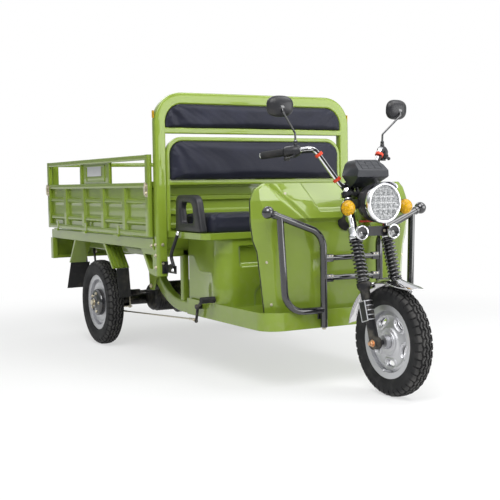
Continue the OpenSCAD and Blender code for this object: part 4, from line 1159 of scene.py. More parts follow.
@dataclass
class FrontFork:
    """Sprung fork: chromed tubes, coil springs, lower legs and the crowned fender."""

    shop: Workshop
    leg_x: float = -12.0
    leg_y: float = 85.0
    spring_low: float = 262.3
    spring_top: float = 451.7
    coil_r: float = 25.4
    wire_r: float = 4.4
    turns: float = 12.0
    tube_top: float = 670.0

    def __post_init__(self) -> None:
        """Places the left leg's foot and the line of the legs."""
        self.foot = self.shop.fork(row(self.leg_x, self.leg_y, 0))
        self.axis = self.shop.fork_axis()

    def springs(self) -> Skin:
        """Coil springs: a helix whose first and last turns lie flat, carried by a round wire."""
        turn = np.linspace(0, self.turns, int(self.turns * 26) + 1)
        lift = np.interp(turn, (0, 0.9, self.turns - 0.9, self.turns), (0, 0.035, 0.965, 1))
        rise = self.spring_low + self.wire_r + lift * (self.spring_top - self.spring_low - 2 * self.wire_r)
        x = self.leg_x + self.coil_r * np.cos(turn * TURN)
        y = self.leg_y + self.coil_r * np.sin(turn * TURN)
        path = self.shop.fork(points(x, y, rise))
        return Skin().tube(path, self.wire_r, 10, self.axis).both_sides()

    def collars(self) -> Skin:
        """Bright collars between the lower yoke and each spring."""
        profile = table((17, 452), (29, 452), (30, 455), (30, 468), (27, 473), (26.6, 476),
                        (26.6, 500), (24, 503), (17, 503))
        return Skin().lathe(profile, self.foot, self.axis, 40).both_sides()

    def legs(self) -> Skin:
        """Lower legs: turned tubes with shoulder rings, and an axle lug across the foot."""
        profile = table((0, 10), (18, 10), (21, 14), (21, 120), (22.5, 124), (22.5, 150), (21, 154),
                        (21, 226), (27, 236), (31, 244), (31, 260), (28, 262), (18.5, 262),
                        (18.5, 452), (0, 452))
        lug = table((8, -19), (23, -19), (26, -16), (26, 16), (23, 19), (8, 19))
        axle = self.shop.fork(row(-6, self.leg_y, 0))
        skin = Skin().lathe(profile, self.foot, self.axis, 40)
        return skin.lathe(lug, axle, LEFT, 40).both_sides()

    def leg_bands(self) -> Skin:
        """Bright outline of the plate on the outer side of each leg, and thin bands round the leg."""
        skin = Skin()
        for z in (98, 182):
            skin.bar(self.shop.fork(table((-36, 110, z), (6, 110, z))), 4, 5, 1.5)
        for x in (-36, 6):
            skin.bar(self.shop.fork(table((x, 110, 96), (x, 110, 184))), 5, 4, 1.5, LEFT)
        for z in (100, 120, 140, 160, 180):
            skin.lathe(table((20, z), (23.4, z), (23.4, z + 3), (20, z + 3)), self.foot, self.axis, 36)
        return skin.both_sides()

    def leg_plates(self) -> Skin:
        """Dark plates on the outer sides of the legs."""
        ends = self.shop.fork(table((-15, 109, 97), (-15, 109, 183)))
        return Skin().bar(ends, 42, 3, 1, self.shop.fork(FORWARD) - self.shop.front).both_sides()

    def fender(self) -> Skin:
        """Crowned strip round the tyre, flared at its front tip.

        Across, the section is an arc of the crown radius; along, the radius about the axle is constant
        and grows with the square of the angle past the flare's start. Two beads roll the edges.
        """
        angle = np.radians(joined(np.linspace(54, 78, 22), np.linspace(80, 168, 46)))
        flare = np.clip((np.radians(78) - angle) / np.radians(24), 0, 1)
        base = self.shop.front_r + 36
        half = 52 * (1 - 0.42 * flare ** 3)
        share = np.linspace(-1, 1, 25)
        width = half[:, None] * share
        drop = (80 - np.sqrt(80 ** 2 - (52 * share) ** 2))[None] * (1 - 0.75 * flare[:, None])
        reach = base + 22 * flare[:, None] ** 2 - drop
        crease = 2.4 * np.exp(-(share / 0.1) ** 2)[None] * (1 - flare[:, None])

        along, up = np.cos(angle)[:, None], np.sin(angle)[:, None]

        def at(r: Array) -> Array:
            """Points at a radius round the axle."""
            return self.shop.front + points(r * along, width, r * up)

        skin = Skin().slab(at(reach + crease), at(reach + crease - 2.2))
        edge = at(reach - 1)
        for side in (0, -1):
            skin.tube(edge[:, side], 2.6, 10, LEFT)
        return skin.tube(edge[0], 2.4, 10, FORWARD)

    def fender_stays(self) -> Skin:
        """Brackets from the fender to the legs."""
        skin = Skin()
        for x in (-20, 4):
            skin.bar(self.shop.fork(table((x, 46, 252), (x, 57.5, 253))), 9, 5, 1.5)
        skin.bar(self.shop.fork(table((-28, 45, 244), (12, 45, 244))), 4, 22, 1.5, LEFT)
        return skin.both_sides()

    def tubes(self) -> Skin:
        """Polished upper tubes with a hexagon cap on each."""
        top = self.tube_top
        profile = table((0, 255), (16.5, 255), (16.5, top - 2), (15, top), (0, top))
        cap = table((12, top - 1), (14.5, top), (14.5, top + 7), (12, top + 10), (0, top + 10))
        skin = Skin().lathe(profile, self.foot, self.axis, 40)
        return skin.lathe(cap, self.foot, self.axis, 6).both_sides()

    def axle_ends(self) -> Skin:
        """Front axle with its nuts and washers."""
        skin = Skin().tube(self.shop.front + table((0, -124, 0), (0, 124, 0)), 7, 24)
        for side in (-1, 1):
            skin.bolt(self.shop.front + row(0, side * 104.3, 0), side * LEFT, 22)
        return skin

    def spacers(self) -> Skin:
        """Dark sleeves between the front hub and the legs."""
        sleeve = table((7, 27), (15, 27), (15, 40), (11, 44), (11, 66), (7, 66))
        return Skin().lathe(sleeve, self.shop.front, LEFT, 32).both_sides()

    def build(self) -> None:
        """Makes the fork and fender."""
        shop, steering = self.shop, Body.STEERING
        shop.make("fork_coils", self.springs(), steering, Coat.BLACK, "fork_springs", sharp=60)
        shop.make("tube_collars", self.collars(), steering, Coat.CHROME)
        shop.make("lower_legs", self.legs(), steering, Coat.SATIN, "fork_legs")
        shop.make("leg_bands", self.leg_bands(), steering, Coat.SILVER)
        shop.make("leg_plates", self.leg_plates(), steering, Coat.PLASTIC)
        shop.make("axle_spacers", self.spacers(), steering, Coat.SATIN)
        shop.make("upper_tubes", self.tubes(), steering, Coat.CHROME, "fork_tubes")
        shop.make("fender_sheet", self.fender(), steering, Coat.FENDER, "front_fender", sharp=60)
        shop.make("fender_stays", self.fender_stays(), steering, Coat.FENDER)
        shop.make("front_axle_ends", self.axle_ends(), steering, Coat.COPPER, "front_axle")


@dataclass
class SteeringHead:
    """Handlebar, controls, mirrors, instrument housing and lamps."""

    shop: Workshop
    head_top: float = 642.0
    axis_x: float = -42.0
    reach: float = 338.0
    grip: float = 104.0

    def __post_init__(self) -> None:
        """Places the bar and lamps from the top of the head tube."""
        self.crown = self.shop.fork(row(self.axis_x, 0, self.head_top))
        clamp = self.shop.fork(row(self.axis_x - 22, 0, self.head_top + 62))
        self.low = row(clamp[0], 70, clamp[2])
        self.bend = self.crown + row(-87, self.reach - 157, 222)
        self.end = self.crown + row(-264, self.reach, 195)
        self.along = unit(self.bend - self.end)
        self.pod = self.end + self.along * (self.grip + 1)
        self.lamp = self.crown + row(180, 0, -18)
        self.signal = self.crown + row(125, 152, -37)
        self.spot = self.crown + row(131, 84, -143)
        self.mirror = self.crown + row(-153, self.reach - 24, 405)

    def bar(self) -> Skin:
        """Chromed tube through both grips, bends and the clamps."""
        half = table(self.low, self.bend, self.end)
        path = rounded_path(joined(half[::-1] * FLIP, half), 40, 12)
        return Skin().tube(path, 11, 28)

    def cables(self) -> Skin:
        """Control cables tied along the front of the bar and down behind the headlamp."""
        ends = ((row(12, -3, -9), row(50, 34, 20)), (row(4, -6, -15), row(58, 22, 8)),
                (row(15, 3, -1), row(44, 46, 14)))
        skin = Skin()
        for offset, end in ends:
            route = table(
                self.pod + self.along * 70 + offset * 0.8, self.bend + offset * 1.1,
                self.low + offset * 1.25, self.low + row(22, -18, -26) + offset, self.crown + end)
            skin.tube(resample(rounded_path(route, 24, 8), 60), 3.4, 10)
        return skin.both_sides()

    def ties(self) -> Skin:
        """Bands that hold the cables to the bar."""
        skin = Skin()
        ring = table((16.5, -7), (18.5, -6), (18.5, 6), (16.5, 7), (15, 0))
        down = unit(self.low - self.bend)
        for at in (self.bend + down * 30, self.low - down * 42):
            skin.lathe(ring, at + row(5, -2, -4), down, 28)
        return skin.both_sides()

    def grips(self) -> Skin:
        """Ribbed rubber grips with an end flange: the radius waves along the grip."""
        s = np.linspace(0, self.grip, 106)
        ribbed = (np.sin(s * TURN / 6) > 0) * (s > 12) * (s < self.grip - 10)
        r = 16.3 + 0.8 * ribbed + 3 * np.exp(-((s - self.grip + 2) / 3) ** 2)
        ends = table((0, -6), (14, -6), (17, -3))
        profile = joined(ends, points(r, s), table((11.4, self.grip + 0.5)))
        return Skin().lathe(profile, self.end, self.along, 32).both_sides()

    def grip_caps(self) -> Skin:
        """Bright end weights in the grips."""
        profile = table((0, -11), (10, -10.5), (12, -8.5), (12, -5.5), (0, -5.5))
        return Skin().lathe(profile, self.end, self.along, 28).both_sides()

    def pods(self) -> Skin:
        """Switch housings: two halves with a parting groove, lever perch, mirror boss and buttons."""
        profile = table((11.4, 0.5), (19, 0.5), (22, 3), (24, 10), (24, 35), (22.8, 36), (22.8, 38),
                        (24, 39), (24, 60), (22, 66), (17, 73), (11.4, 74))
        skin = Skin().lathe(profile, self.pod, self.along, 40)
        lever = self.pod + self.along * 36
        boss = self.pod + self.along * 50
        skin.lathe(table((0, 8), (9.5, 8), (9.5, 30), (8, 33.5), (0, 33.5)), boss, UP, 28)
        ends = table(lever + row(6, 0, -6), lever + row(25, 0, -22))
        skin.bar(ends, 18, 18, 5, LEFT)
        for shift in (10, 24, 38):
            at = self.pod + self.along * shift + row(-16, 0, 16)
            skin.lathe(table((0, 0), (4.5, 0), (4.5, 5), (3, 6.5), (0, 6.5)), at, row(-1, 0, 1), 16)
        under = self.pod + self.along * 10 + table((0, 0, -20), (-2, 0, -38))
        skin.bar(under, 24, 18, 4, LEFT)
        return skin.both_sides()

    def levers(self) -> Skin:
        """Short thumb levers under the switch housings, with a ball end."""
        start = self.pod + self.along * 36
        tip = start + row(2, 34, -32)
        path = table(start + row(22, 0, -20), tip)
        skin = Skin().grid(swept(path, circle(16) * row(5.0, 7.0), UP))
        return skin.ball(tip, 8).both_sides()

    def mirror_turn(self, local: Array) -> Array:
        """Places of the mirror head's own points, tipped 4 and turned 8 degrees about its centre.

        Args:
            local: Points from the centre.

        Returns:
            Their places on the vehicle.
        """
        tip, turn = math.radians(4), math.radians(8)
        pitch = table((math.cos(tip), 0, math.sin(tip)), (0, 1, 0), (-math.sin(tip), 0, math.cos(tip)))
        yaw = table((math.cos(turn), -math.sin(turn), 0), (math.sin(turn), math.cos(turn), 0), (0, 0, 1))
        return self.mirror + local @ (yaw @ pitch).T

    def mirror_heads(self) -> Skin:
        """Mirror housings: a squared oval whose rings shrink as a rounded dome towards the back.

        Ring scale is (1 - depth share to the 2.4) to the 0.5, after a rolled lip round the glass.
        """
        angle = np.linspace(0, TURN, 64, endpoint=False)
        wide = 62 * bent(np.cos(angle), 0.75)
        tall = 46 * bent(np.sin(angle), 0.75)
        depth = np.sin(np.linspace(0, TURN / 4, 18))
        scale = joined(row(0.9, 0.915, 0.97, 0.995), np.sqrt(np.clip(1 - depth ** 2.4, 0, 1)))
        x = joined(row(3.5, 0, -0.5, 1.5), 4 + 30 * depth)
        rings = points(x[:, None], scale[:, None] * wide, scale[:, None] * tall)
        return Skin().grid(self.mirror_turn(rings)).both_sides()

    def mirror_stems(self) -> Skin:
        """Kinked stems from the switch housings to a ball joint behind each mirror."""
        foot = self.pod + self.along * 50 + row(0, 0, 34)
        back = self.mirror_turn(row(30, 0, -4))
        path = rounded_path(table(foot, foot + row(0, 2, 44), back + row(8, 0, -22), back), 14, 8)
        skin = Skin().tube(path, 4.6, 14)
        skin.lathe(table((0, 0), (8.5, 0), (8.5, 9), (6, 13), (0, 13)), foot, UP, 6)
        joint = table((0, -4), (13, -4), (12, 4), (8, 9), (0, 10))
        skin.lathe(joint, back - row(2, 0, 0), row(1, 0, -0.15), 24)
        return skin.both_sides()

    def headlamp(self) -> None:
        """Bowl, chrome rim with a brow, LED cells behind a clear domed lens."""
        shop, body = self.shop, Body.STEERING
        angle = np.linspace(0, TURN / 4, 16)
        bowl = points(82 * np.sin(angle) ** 0.9, -131 + 63 * (1 - np.cos(angle)))
        band = table((82, -60), (84, -56), (84, -50), (82, -46), (82, -24.5), (0, -24.5))
        skin = Skin().lathe(joined(bowl, band), self.lamp, FORWARD, 64)
        shop.make("headlamp_bowl", skin, body, Coat.PLASTIC, "headlight_shell")
        rim = table((75.5, -23), (86, -23), (88, -18), (88, -6), (86.5, -1),
                    (83, 3), (78, 4.5), (75.5, 3), (74.5, -2))
        skin = Skin().lathe(rim, self.lamp, FORWARD, 96)
        sweep = np.radians(np.linspace(42, 138, 40))
        lip = 1 - np.abs(np.linspace(-1, 1, 40)) ** 4
        x, grow, r = table((-14, 0, 88.5), (-2, 0.2, 90), (2, 1, 90.5),
                           (1, 1, 88.8), (-2, 0.2, 88.3), (-14, 0, 87.5)).T[:, None]
        out = x + 24 * lip[:, None] * grow
        brow = points(out, r * np.cos(sweep)[:, None], r * np.sin(sweep)[:, None])
        skin.grid(self.lamp + brow)
        shop.make("headlamp_rim", skin, body, Coat.CHROME, "headlight_ring", sharp=50)
        dome = np.linspace(0, 1, 14)
        glass = joined(points(75 * dome, 9.5 * (1 - dome ** 2)), table((75, -3), (0, -3)))
        skin = Skin().lathe(glass, self.lamp, FORWARD, 64)
        shop.make("headlamp_glass", skin, body, Coat.GLASS, "headlight_lens", sharp=60)
        shop.make("headlamp_cells", self.led_cells(), body, Coat.OPTIC, sharp=12)

    def led_cells(self) -> Skin:
        """Reflector plate: rows of square cups with stepped facets, ringed by radial flutes.

        In a cup the plate sinks with the larger of the two distances from the cup's centre, in steps;
        outside the cups the height waves with the angle.
        """
        across = np.linspace(-1, 1, 109)
        y, z = np.meshgrid(across, across, indexing="ij")
        fold = np.maximum(np.hypot(y, z) / np.maximum(np.abs(y), np.abs(z)).clip(1e-6), 1)
        y, z = 73 * y / fold, 73 * z / fold
        u = (y + 13.5) % 27 - 13.5
        v = (z + 27) % 27 - 13.5
        inside = (np.hypot(y, z) < 66) & (np.abs(z) < 54)
        wide = np.maximum(np.abs(u), np.abs(v))
        cup = 11 * ease(wide, 2, 12.5) - 2 * (wide < 3)
        angle = np.arctan2(z, y)
        height = np.where(inside, cup, 10 + 1.6 * np.sin(angle * 24))
        front = points(self.lamp[0] - 20 + height, y, self.lamp[2] + z)
        back = points(self.lamp[0] - 23.5, y, self.lamp[2] + z)
        return Skin().slab(front, back)

    def spots(self) -> None:
        """Two round spot lamps: chrome rings, black bowls and a small bright emitter."""
        shop, body = self.shop, Body.STEERING
        ring = table((25, -6), (31, -7), (33, -4), (33, 0), (31, 4), (28, 5), (25.5, 3), (25, -2))
        skin = Skin().lathe(ring, self.spot, FORWARD, 56)
        shop.make("spot_rings", skin.both_sides(), body, Coat.CHROME, "spot_lamps")
        bowl = table((0, -22), (13, -22), (22, -17), (29, -9), (29, -6.5),
                     (25, -5.5), (24, -1), (15, -5), (5, -8), (0, -8))
        shop.make("spot_bowls", Skin().lathe(bowl, self.spot, FORWARD, 48).both_sides(), body, Coat.BLACK)
        dot = table((0, -4), (3.5, -5), (5, -8), (0, -8.4))
        shop.make("spot_emitters", Skin().lathe(dot, self.spot, FORWARD, 24).both_sides(), body, Coat.OPTIC)

    def signals(self) -> None:
        """Amber turn signals with moulded rings, in black cups."""
        shop, body = self.shop, Body.STEERING
        s = np.linspace(0, 1, 34)
        r = 33 * np.sqrt(1 - s ** 2.6) + 0.6 * np.sin(s * 60) * (1 - s)
        lens = joined(table((0, -6)), points(r, -6 + 33 * s))
        skin = Skin().lathe(lens, self.signal, FORWARD, 44).both_sides()
        # The amber finish gives the unlit signals a faint painted glow.
        shop.make("signal_lenses", skin, body, Coat.AMBER, "turn_signals", sharp=60)
        cup = table((0, -15), (15, -15), (23, -12), (32.5, -6.5), (34, -5),
                    (34, 0), (33.3, 0), (33.1, -5), (0, -6.2))
        shop.make("signal_cups", Skin().lathe(cup, self.signal, FORWARD, 44).both_sides(), body, Coat.BLACK)

    def housing(self) -> None:
        """Instrument housing with its display and ridges, a strip reflector and the bracket's bolts."""
        shop, body = self.shop, Body.STEERING
        shop.softened("cluster", body, Coat.HOUSING, 5, 4)
        top = self.crown
        corners = table((-12.5, 52, 132), (-12.5, -52, 132))
        screen = Skin().bar(top + corners, 34, 4, 1.5, row(0.26, 0, 1))
        shop.make("display", screen, body, Coat.SCREEN)
        ridges = Skin()
        for share in (0.14, 0.5, 0.86):
            place = row(103 - 55 * share, 0, 122 + 46 * share)
            ridges.bar(top + place + table((0, -54, 0), (0, 54, 0)), 4, 4, 1.2)
        for y in (-52, -17, 17, 52):
            ridges.bar(top + table((95, y, 128.5), (55, y, 162)), 4, 4, 1.2, LEFT)
        shop.make("housing_ridges", ridges, body, Coat.HOUSING)
        strip = Skin().bar(top + table((66, -48, -98), (66, 48, -98)), 9, 12, 2)
        shop.make("strip_reflector", strip, body, Coat.TIE)
        bolts = Skin()
        for y in (-50, 50):
            bolts.bolt(self.spot * row(1, 0, 1) + row(-21.5, y, 4), FORWARD, 10)
        shop.make("yoke_bolts", bolts, body, Coat.ZINC)

    def build(self) -> None:
        """Makes the steering head."""
        shop, body = self.shop, Body.STEERING
        shop.make("handlebar_tube", self.bar(), body, Coat.CHROME, "handlebar")
        shop.make("control_cables", self.cables(), body, Coat.CABLE)
        shop.make("cable_ties", self.ties(), body, Coat.TIE)
        shop.make("grip_sleeves", self.grips(), body, Coat.RUBBER, "grips", sharp=50)
        shop.make("grip_caps", self.grip_caps(), body, Coat.CHROME)
        shop.make("switch_housings", self.pods(), body, Coat.PLASTIC, "switch_pods")
        shop.make("thumb_levers", self.levers(), body, Coat.PLASTIC)
        shop.make("mirror_heads", self.mirror_heads(), body, Coat.PLASTIC, "mirrors")
        shop.make("mirror_stems", self.mirror_stems(), body, Coat.BLACK)
        shop.keep("mirror_glass", Coat.MIRROR)
        shop.softened("steering_stem", body, Coat.SATIN, 2)
        shop.softened("top_yoke", body, Coat.SATIN, 2)
        shop.softened("lamp_bracket", body, Coat.SATIN, 1.2, 2)
        self.housing()
        self.headlamp()
        self.spots()
        self.signals()


@dataclass
class FrontBody:
    """Floor pan, moulded leg shield and crash bar."""

    shop: Workshop
    pan_front: float = 1716.0
    half: float = 428.0
    top: float = 905.0
    floor: float = 328.3
    post_out: float = 24.0
    post_y: float = 151.0
    post_foot: float = 272.0
    cross_z: tuple[float, float] = (487.0, 575.0)

    def sections(self) -> Array:
        """Sections of the leg shield, from the floor up.

        Each row has a height, the share of the half width and the setback at the edge, the shoulder and
        the crease, and the setback of the middle.
        """
        return table(
            (self.floor, 0.868, 109, 0.783, 80, 0.350, 48, 48),
            (self.top - 435, 0.898, 114, 0.805, 76, 0.385, 38, 38),
            (self.top - 299, 0.932, 118, 0.836, 72, 0.444, 28, 28),
            (self.top - 250, 0.975, 122, 0.859, 72, 0.495, 24, 26),
            (self.top - 170, 0.998, 124, 0.899, 72, 0.556, 20, 20),
            (self.top - 153, 1.000, 124, 0.901, 72, 0.560, 4, 2),
            (self.top - 75, 0.998, 128, 0.929, 94, 0.748, 52, 40),
            (self.top - 25, 0.948, 126, 0.920, 112, 0.818, 90, 76),
            (self.top, 0.873, 116, 0.850, 110, 0.805, 104, 94))

    def shield_front(self) -> Array:
        """Front points of the leg shield.

        At each height the setback runs straight from edge to shoulder to crease to middle, with columns
        gathered on those lines and a short running mean to round them. A groove follows the slanted line
        above the crease, and a tapered field in the top middle is pressed back.
        """
        rows = self.sections()
        crease = self.top - row(153, 156, 161, 166, 170)
        lifts = np.unique(joined(np.linspace(self.floor, self.top, 130), crease))
        cut = [np.interp(lifts, rows[:, 0], rows[:, column])[:, None] for column in range(1, 8)]
        place = joined(np.linspace(0, 1, 15), np.linspace(1, 2, 25)[1:], np.linspace(2, 3, 71)[1:])
        knots = [np.clip(place - start, 0, 1) for start in range(3)]
        share = cut[0] + (cut[2] - cut[0]) * knots[0] + (cut[4] - cut[2]) * knots[1] - cut[4] * knots[2]
        setback = (cut[1] + (cut[3] - cut[1]) * knots[0] + (cut[5] - cut[3]) * knots[1]
                   + (cut[6] - cut[5]) * knots[2])
        y, setback = share * self.half, self.soften(setback)
        z = lifts[:, None]
        setback = setback + self.groove(y, z) + self.field(y, z)
        near = points(self.pan_front - setback, -y, z)
        return np.concatenate([near, near[:, -2::-1] * FLIP], 1)

    @staticmethod
    def soften(field: Array) -> Array:
        """Running mean over three columns, which rounds the creases."""
        wide = np.pad(field, ((0, 0), (1, 1)), mode="edge")
        return (wide[:, :-2] + wide[:, 1:-1] + wide[:, 2:]) / 3

    @staticmethod
    def groove(y: Array, z: Array) -> Array:
        """Depth of the slanted groove: a narrow bell round the line from the top corner to the crease.

        Args:
            y: Places across.
            z: Heights.

        Returns:
            Depth at each place.
        """
        start, end = row(342, 898), row(209, 748)
        line = end - start
        share = np.clip(((y - start[0]) * line[0] + (z - start[1]) * line[1]) / (line @ line), 0, 1)
        gap = np.hypot(y - start[0] - share * line[0], z - start[1] - share * line[1])
        return 11.0 * np.exp(-(gap / 6.5) ** 2)

    @staticmethod
    def field(y: Array, z: Array) -> Array:
        """Depth of the pressed field in the top middle, wider at the top, with short sloping edges."""
        half = np.interp(z, (785, 905), (138, 182))
        return 15 * (1 - ease(y - half, -5, 5)) * ease(z, 780, 792)

    def shield(self) -> Skin:
        """Leg shield with its side and top edges turned back and closed behind by the wall's thickness."""
        front = self.shield_front()
        turn = np.linspace(0, TURN / 4, 6)[1:]
        back = joined(5 * (1 - np.cos(turn)), row(12))
        out = joined(5 * np.sin(turn), row(5))
        near = (front[:, :1] + points(-back, -out * 0.3, 0)[None])[:, ::-1]
        far = front[:, -1:] + points(-back, out * 0.3, 0)[None]
        wide = np.concatenate([near, front, far], 1)
        roof = wide[-1:] + points(-back, 0, out * 0.3)[:, None]
        full = np.concatenate([wide, roof], 0)
        return Skin().slab(full, full - row(4, 0, 0))

    def shield_trim(self) -> Skin:
        """Dark edge strips down both sides of the leg shield."""
        front = self.shield_front()
        path = front[2:-14, -1] + row(-9, 0.5, 0)
        return Skin().tube(resample(path, 60), 3.2, 12).both_sides()

    def neck_sleeve(self) -> Skin:
        """Rubber sleeve where the frame's neck passes through the shield."""
        axis = row(170.6, 0, 45.7)
        at = row(self.pan_front - 4, 0, 738)
        profile = table((22, -22), (44, -22), (42, -8), (33, 2), (30, 14), (23, 16))
        return Skin().lathe(profile, at, axis, 40)

    def shield_screws(self) -> Skin:
        """Screws that hold the shield's panels."""
        skin = Skin()
        front = self.shield_front()
        for y, z in ((285, 860), (372, 560), (352, 372)):
            near = np.argmin(np.abs(front[..., 1] - y) + np.abs(front[..., 2] - z))
            at = front.reshape(-1, 3)[near]
            skin.lathe(table((0, -1), (6.5, -1), (6.5, 1), (4.5, 3), (0, 3.4)), at, row(1, 0.25, 0.25), 20)
        return skin.both_sides()

    def crash_tubes(self) -> Skin:
        """Black tubes: uprights that bend out to the ball ends, braces, and two cross tubes."""
        x, y, foot = self.pan_front + self.post_out, self.post_y, self.post_foot
        ball = row(self.pan_front - 5, 413, 782)
        corner = row(x, y, 682)
        skin = Skin().tube(rounded_path(table(ball, corner, row(x, y, foot)), 90, 18), 16, 28)
        start = ball + unit(corner - ball) * 60
        brace = table(start, row(x - 14, 338, 347), row(x, y, 347))
        skin.tube(rounded_path(brace, 90, 18), 15.6, 28)
        outward = unit(ball - corner)
        skin.lathe(table((16.3, -40), (18.5, -38), (18.5, -26), (16.3, -24)), ball, outward, 32)
        skin.ball(ball, 28, outward, 0.94)
        skin.bar(table((self.pan_front + 3, y, 305), (self.pan_front + 3, y, 345)), 5.4, 40, 2, FORWARD)
        skin.bar(table((self.pan_front + 4, y, 330), (x, y, 330)), 28, 16, 3)
        plug = table((0, -3), (12, -3), (15.5, 0), (15.5, 20), (0, 20))
        skin.lathe(plug, row(x, y, foot), UP, 28)
        for z in self.cross_z:
            skin.bar(table((x + 3, y - 44, z), (x + 3, y - 10, z)), 34, 20, 3)
        skin.both_sides()
        for z in self.cross_z:
            skin.tube(table((x, -y, z), (x, y, z)), 13, 24)
        return skin

    def crash_bolts(self) -> Skin:
        """Bolts through the crash bar's feet and the lugs of its cross tubes."""
        x, y = self.pan_front + self.post_out, self.post_y
        head = table((0, 0), (4, 0), (4, 2), (2.5, 4), (0, 4))
        skin = Skin()
        for z in self.cross_z:
            for shift in (-38, -22):
                skin.lathe(head, row(x + 12.5, y + shift, z + 10), FORWARD, 16)
        skin.bolt(row(x, y, self.post_foot - 3), -UP, 15)
        return skin.both_sides()

    def build(self) -> None:
        """Makes the front body."""
        shop, body = self.shop, Body.CHASSIS
        shop.make("leg_shield", self.shield(), body, Coat.GREEN, "front_fairing", sharp=50)
        shop.make("shield_edge_strips", self.shield_trim(), body, Coat.RUBBER)
        shop.make("neck_sleeve", self.neck_sleeve(), body, Coat.RUBBER)
        shop.make("shield_screws", self.shield_screws(), body, Coat.ZINC)
        shop.make("crash_tubes", self.crash_tubes(), body, Coat.BLACK, "crash_bar")
        shop.make("crash_bolts", self.crash_bolts(), body, Coat.ZINC)
        shop.softened("floor_pan", body, Coat.GREEN, 1.2)


@dataclass
class Cushion:
    """A foam pad on a board, its cover stapled round the board and swollen by a short cloth simulation."""

    shop: Workshop
    node: str
    front: Array
    travel: float
    fold: float
    voxel: float = 0.006
    crown: float = 0.008
    stapled: float = 0.3
    proud: float = 0.005
    foam: float = 0.45
    frames: int = 20

    def depth(self, places: Array) -> Array:
        """Share of the pad's thickness, 0 at its board and 1 at its front."""
        low, high = (np.array(corner) @ self.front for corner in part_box(self.node))
        return (places @ self.front - low) / (high - low)

    def __post_init__(self) -> None:
        """Copies the solid, a little thinner, and remeshes it in small even faces."""
        name = self.node + "_pad"
        source = self.shop.nodes[self.node].data
        places = vectors(source)
        places = places - self.crown * self.depth(places)[:, None] * self.front
        self.piece = linked(name, welded(name, places, corners_of(source), NODE_WELD))
        remesh = self.piece.modifiers.new("even", "REMESH")
        remesh.mode = "VOXEL"
        remesh.voxel_size = self.voxel
        self.apply()

    def apply(self) -> None:
        """Replaces the pad's mesh by what its modifiers make of it."""
        graph = bpy.context.evaluated_depsgraph_get()
        result = bpy.data.meshes.new_from_object(self.piece.evaluated_get(graph))
        self.piece.modifiers.clear()
        self.piece.data = result

    def swell(self) -> None:
        """Runs the cloth under pressure without gravity, held at the board, then eases off far travel.

        A point that went d ends at travel times the hyperbolic tangent of d over travel.
        """
        rest = vectors(self.piece.data)
        staples = self.piece.vertex_groups.new(name="stapled")
        staples.add(np.flatnonzero(self.depth(rest) < self.stapled).tolist(), 1.0, "REPLACE")
        cloth = self.piece.modifiers.new("stuffing", "CLOTH")
        cloth.settings.use_pressure = True
        cloth.settings.uniform_pressure_force = 4.0
        cloth.settings.effector_weights.gravity = 0.0
        cloth.settings.quality = 4
        cloth.settings.vertex_group_mass = staples.name
        scene = bpy.context.scene
        for frame in range(1, self.frames + 1):
            scene.frame_set(frame)
        self.apply()
        scene.frame_set(1)
        moved = vectors(self.piece.data) - rest
        moved = moved * self.foam + (1 - self.foam) * (moved @ self.front)[:, None] * self.front
        far = np.maximum(np.linalg.norm(moved, axis=1, keepdims=True), 1e-9)
        limit = self.travel * MM
        self.write(rest + moved * limit * np.tanh(far / limit) / far)
        self.piece.vertex_groups.clear()

    def write(self, places: Array) -> None:
        """Puts vertex places back into the mesh."""
        self.piece.data.vertices.foreach_set("co", places.astype(np.float32).ravel())
        self.piece.data.update()

    def wrinkle(self) -> None:
        """Slack folds in the cover's front.

        Slanted folds are a sine of a slanted distance, sharpened by a power and deeper towards the ends.
        A slow swell is a product of two long sines, and creases fan out from the upper corners.
        """
        places = vectors(self.piece.data)
        low, high = (np.array(corner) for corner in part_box(self.node))
        rise = np.abs(np.cross(self.front, LEFT))
        share = (places - low) / (high - low)
        end = np.abs(share[:, 1] * 2 - 1)
        across = places[:, 1] / MM
        up = places @ rise / MM
        slant = np.abs(across) - 1.1 * up
        folds = np.sin(slant / 23 + 0.9 * np.sin(up / 31)) ** 3 * (0.3 + 0.5 * ease(end, 0.3, 0.9))
        slow = np.sin(across / 83 + 1.3) * np.sin(up / 47 + across / 210)
        reach = (high[1] / MM - np.abs(across)) + 14
        drop = places.max(0) @ rise / MM - up + 22
        far = np.hypot(reach, drop)
        fan = np.sin(12 * np.arctan2(drop, reach) + 0.7 * np.sin(far / 37))
        fan = fan * np.exp(-far / 210) * ease(far, 25, 70)
        folds = folds + 3.4 * fan * np.where(across < 0, 1.0, 0.45)
        facing = np.clip(vectors(self.piece.data, "normal") @ self.front, 0, 1)
        lift = (self.fold * folds + 1.4 * self.fold * slow) * MM * facing
        places = places + lift[:, None] * self.front
        self.write(np.clip(places, low, high + self.proud * self.front))

    def build(self) -> None:
        """Makes the pad and fits it on the chassis."""
        self.swell()
        self.wrinkle()
        faces = self.piece.data.polygons
        faces.foreach_set("use_smooth", np.ones(len(faces), bool))
        rounding = self.piece.modifiers.new("rounding", "SUBSURF")
        rounding.levels = rounding.render_levels = 1
        self.shop.fit(self.piece, Body.CHASSIS, Coat.VINYL, self.node)


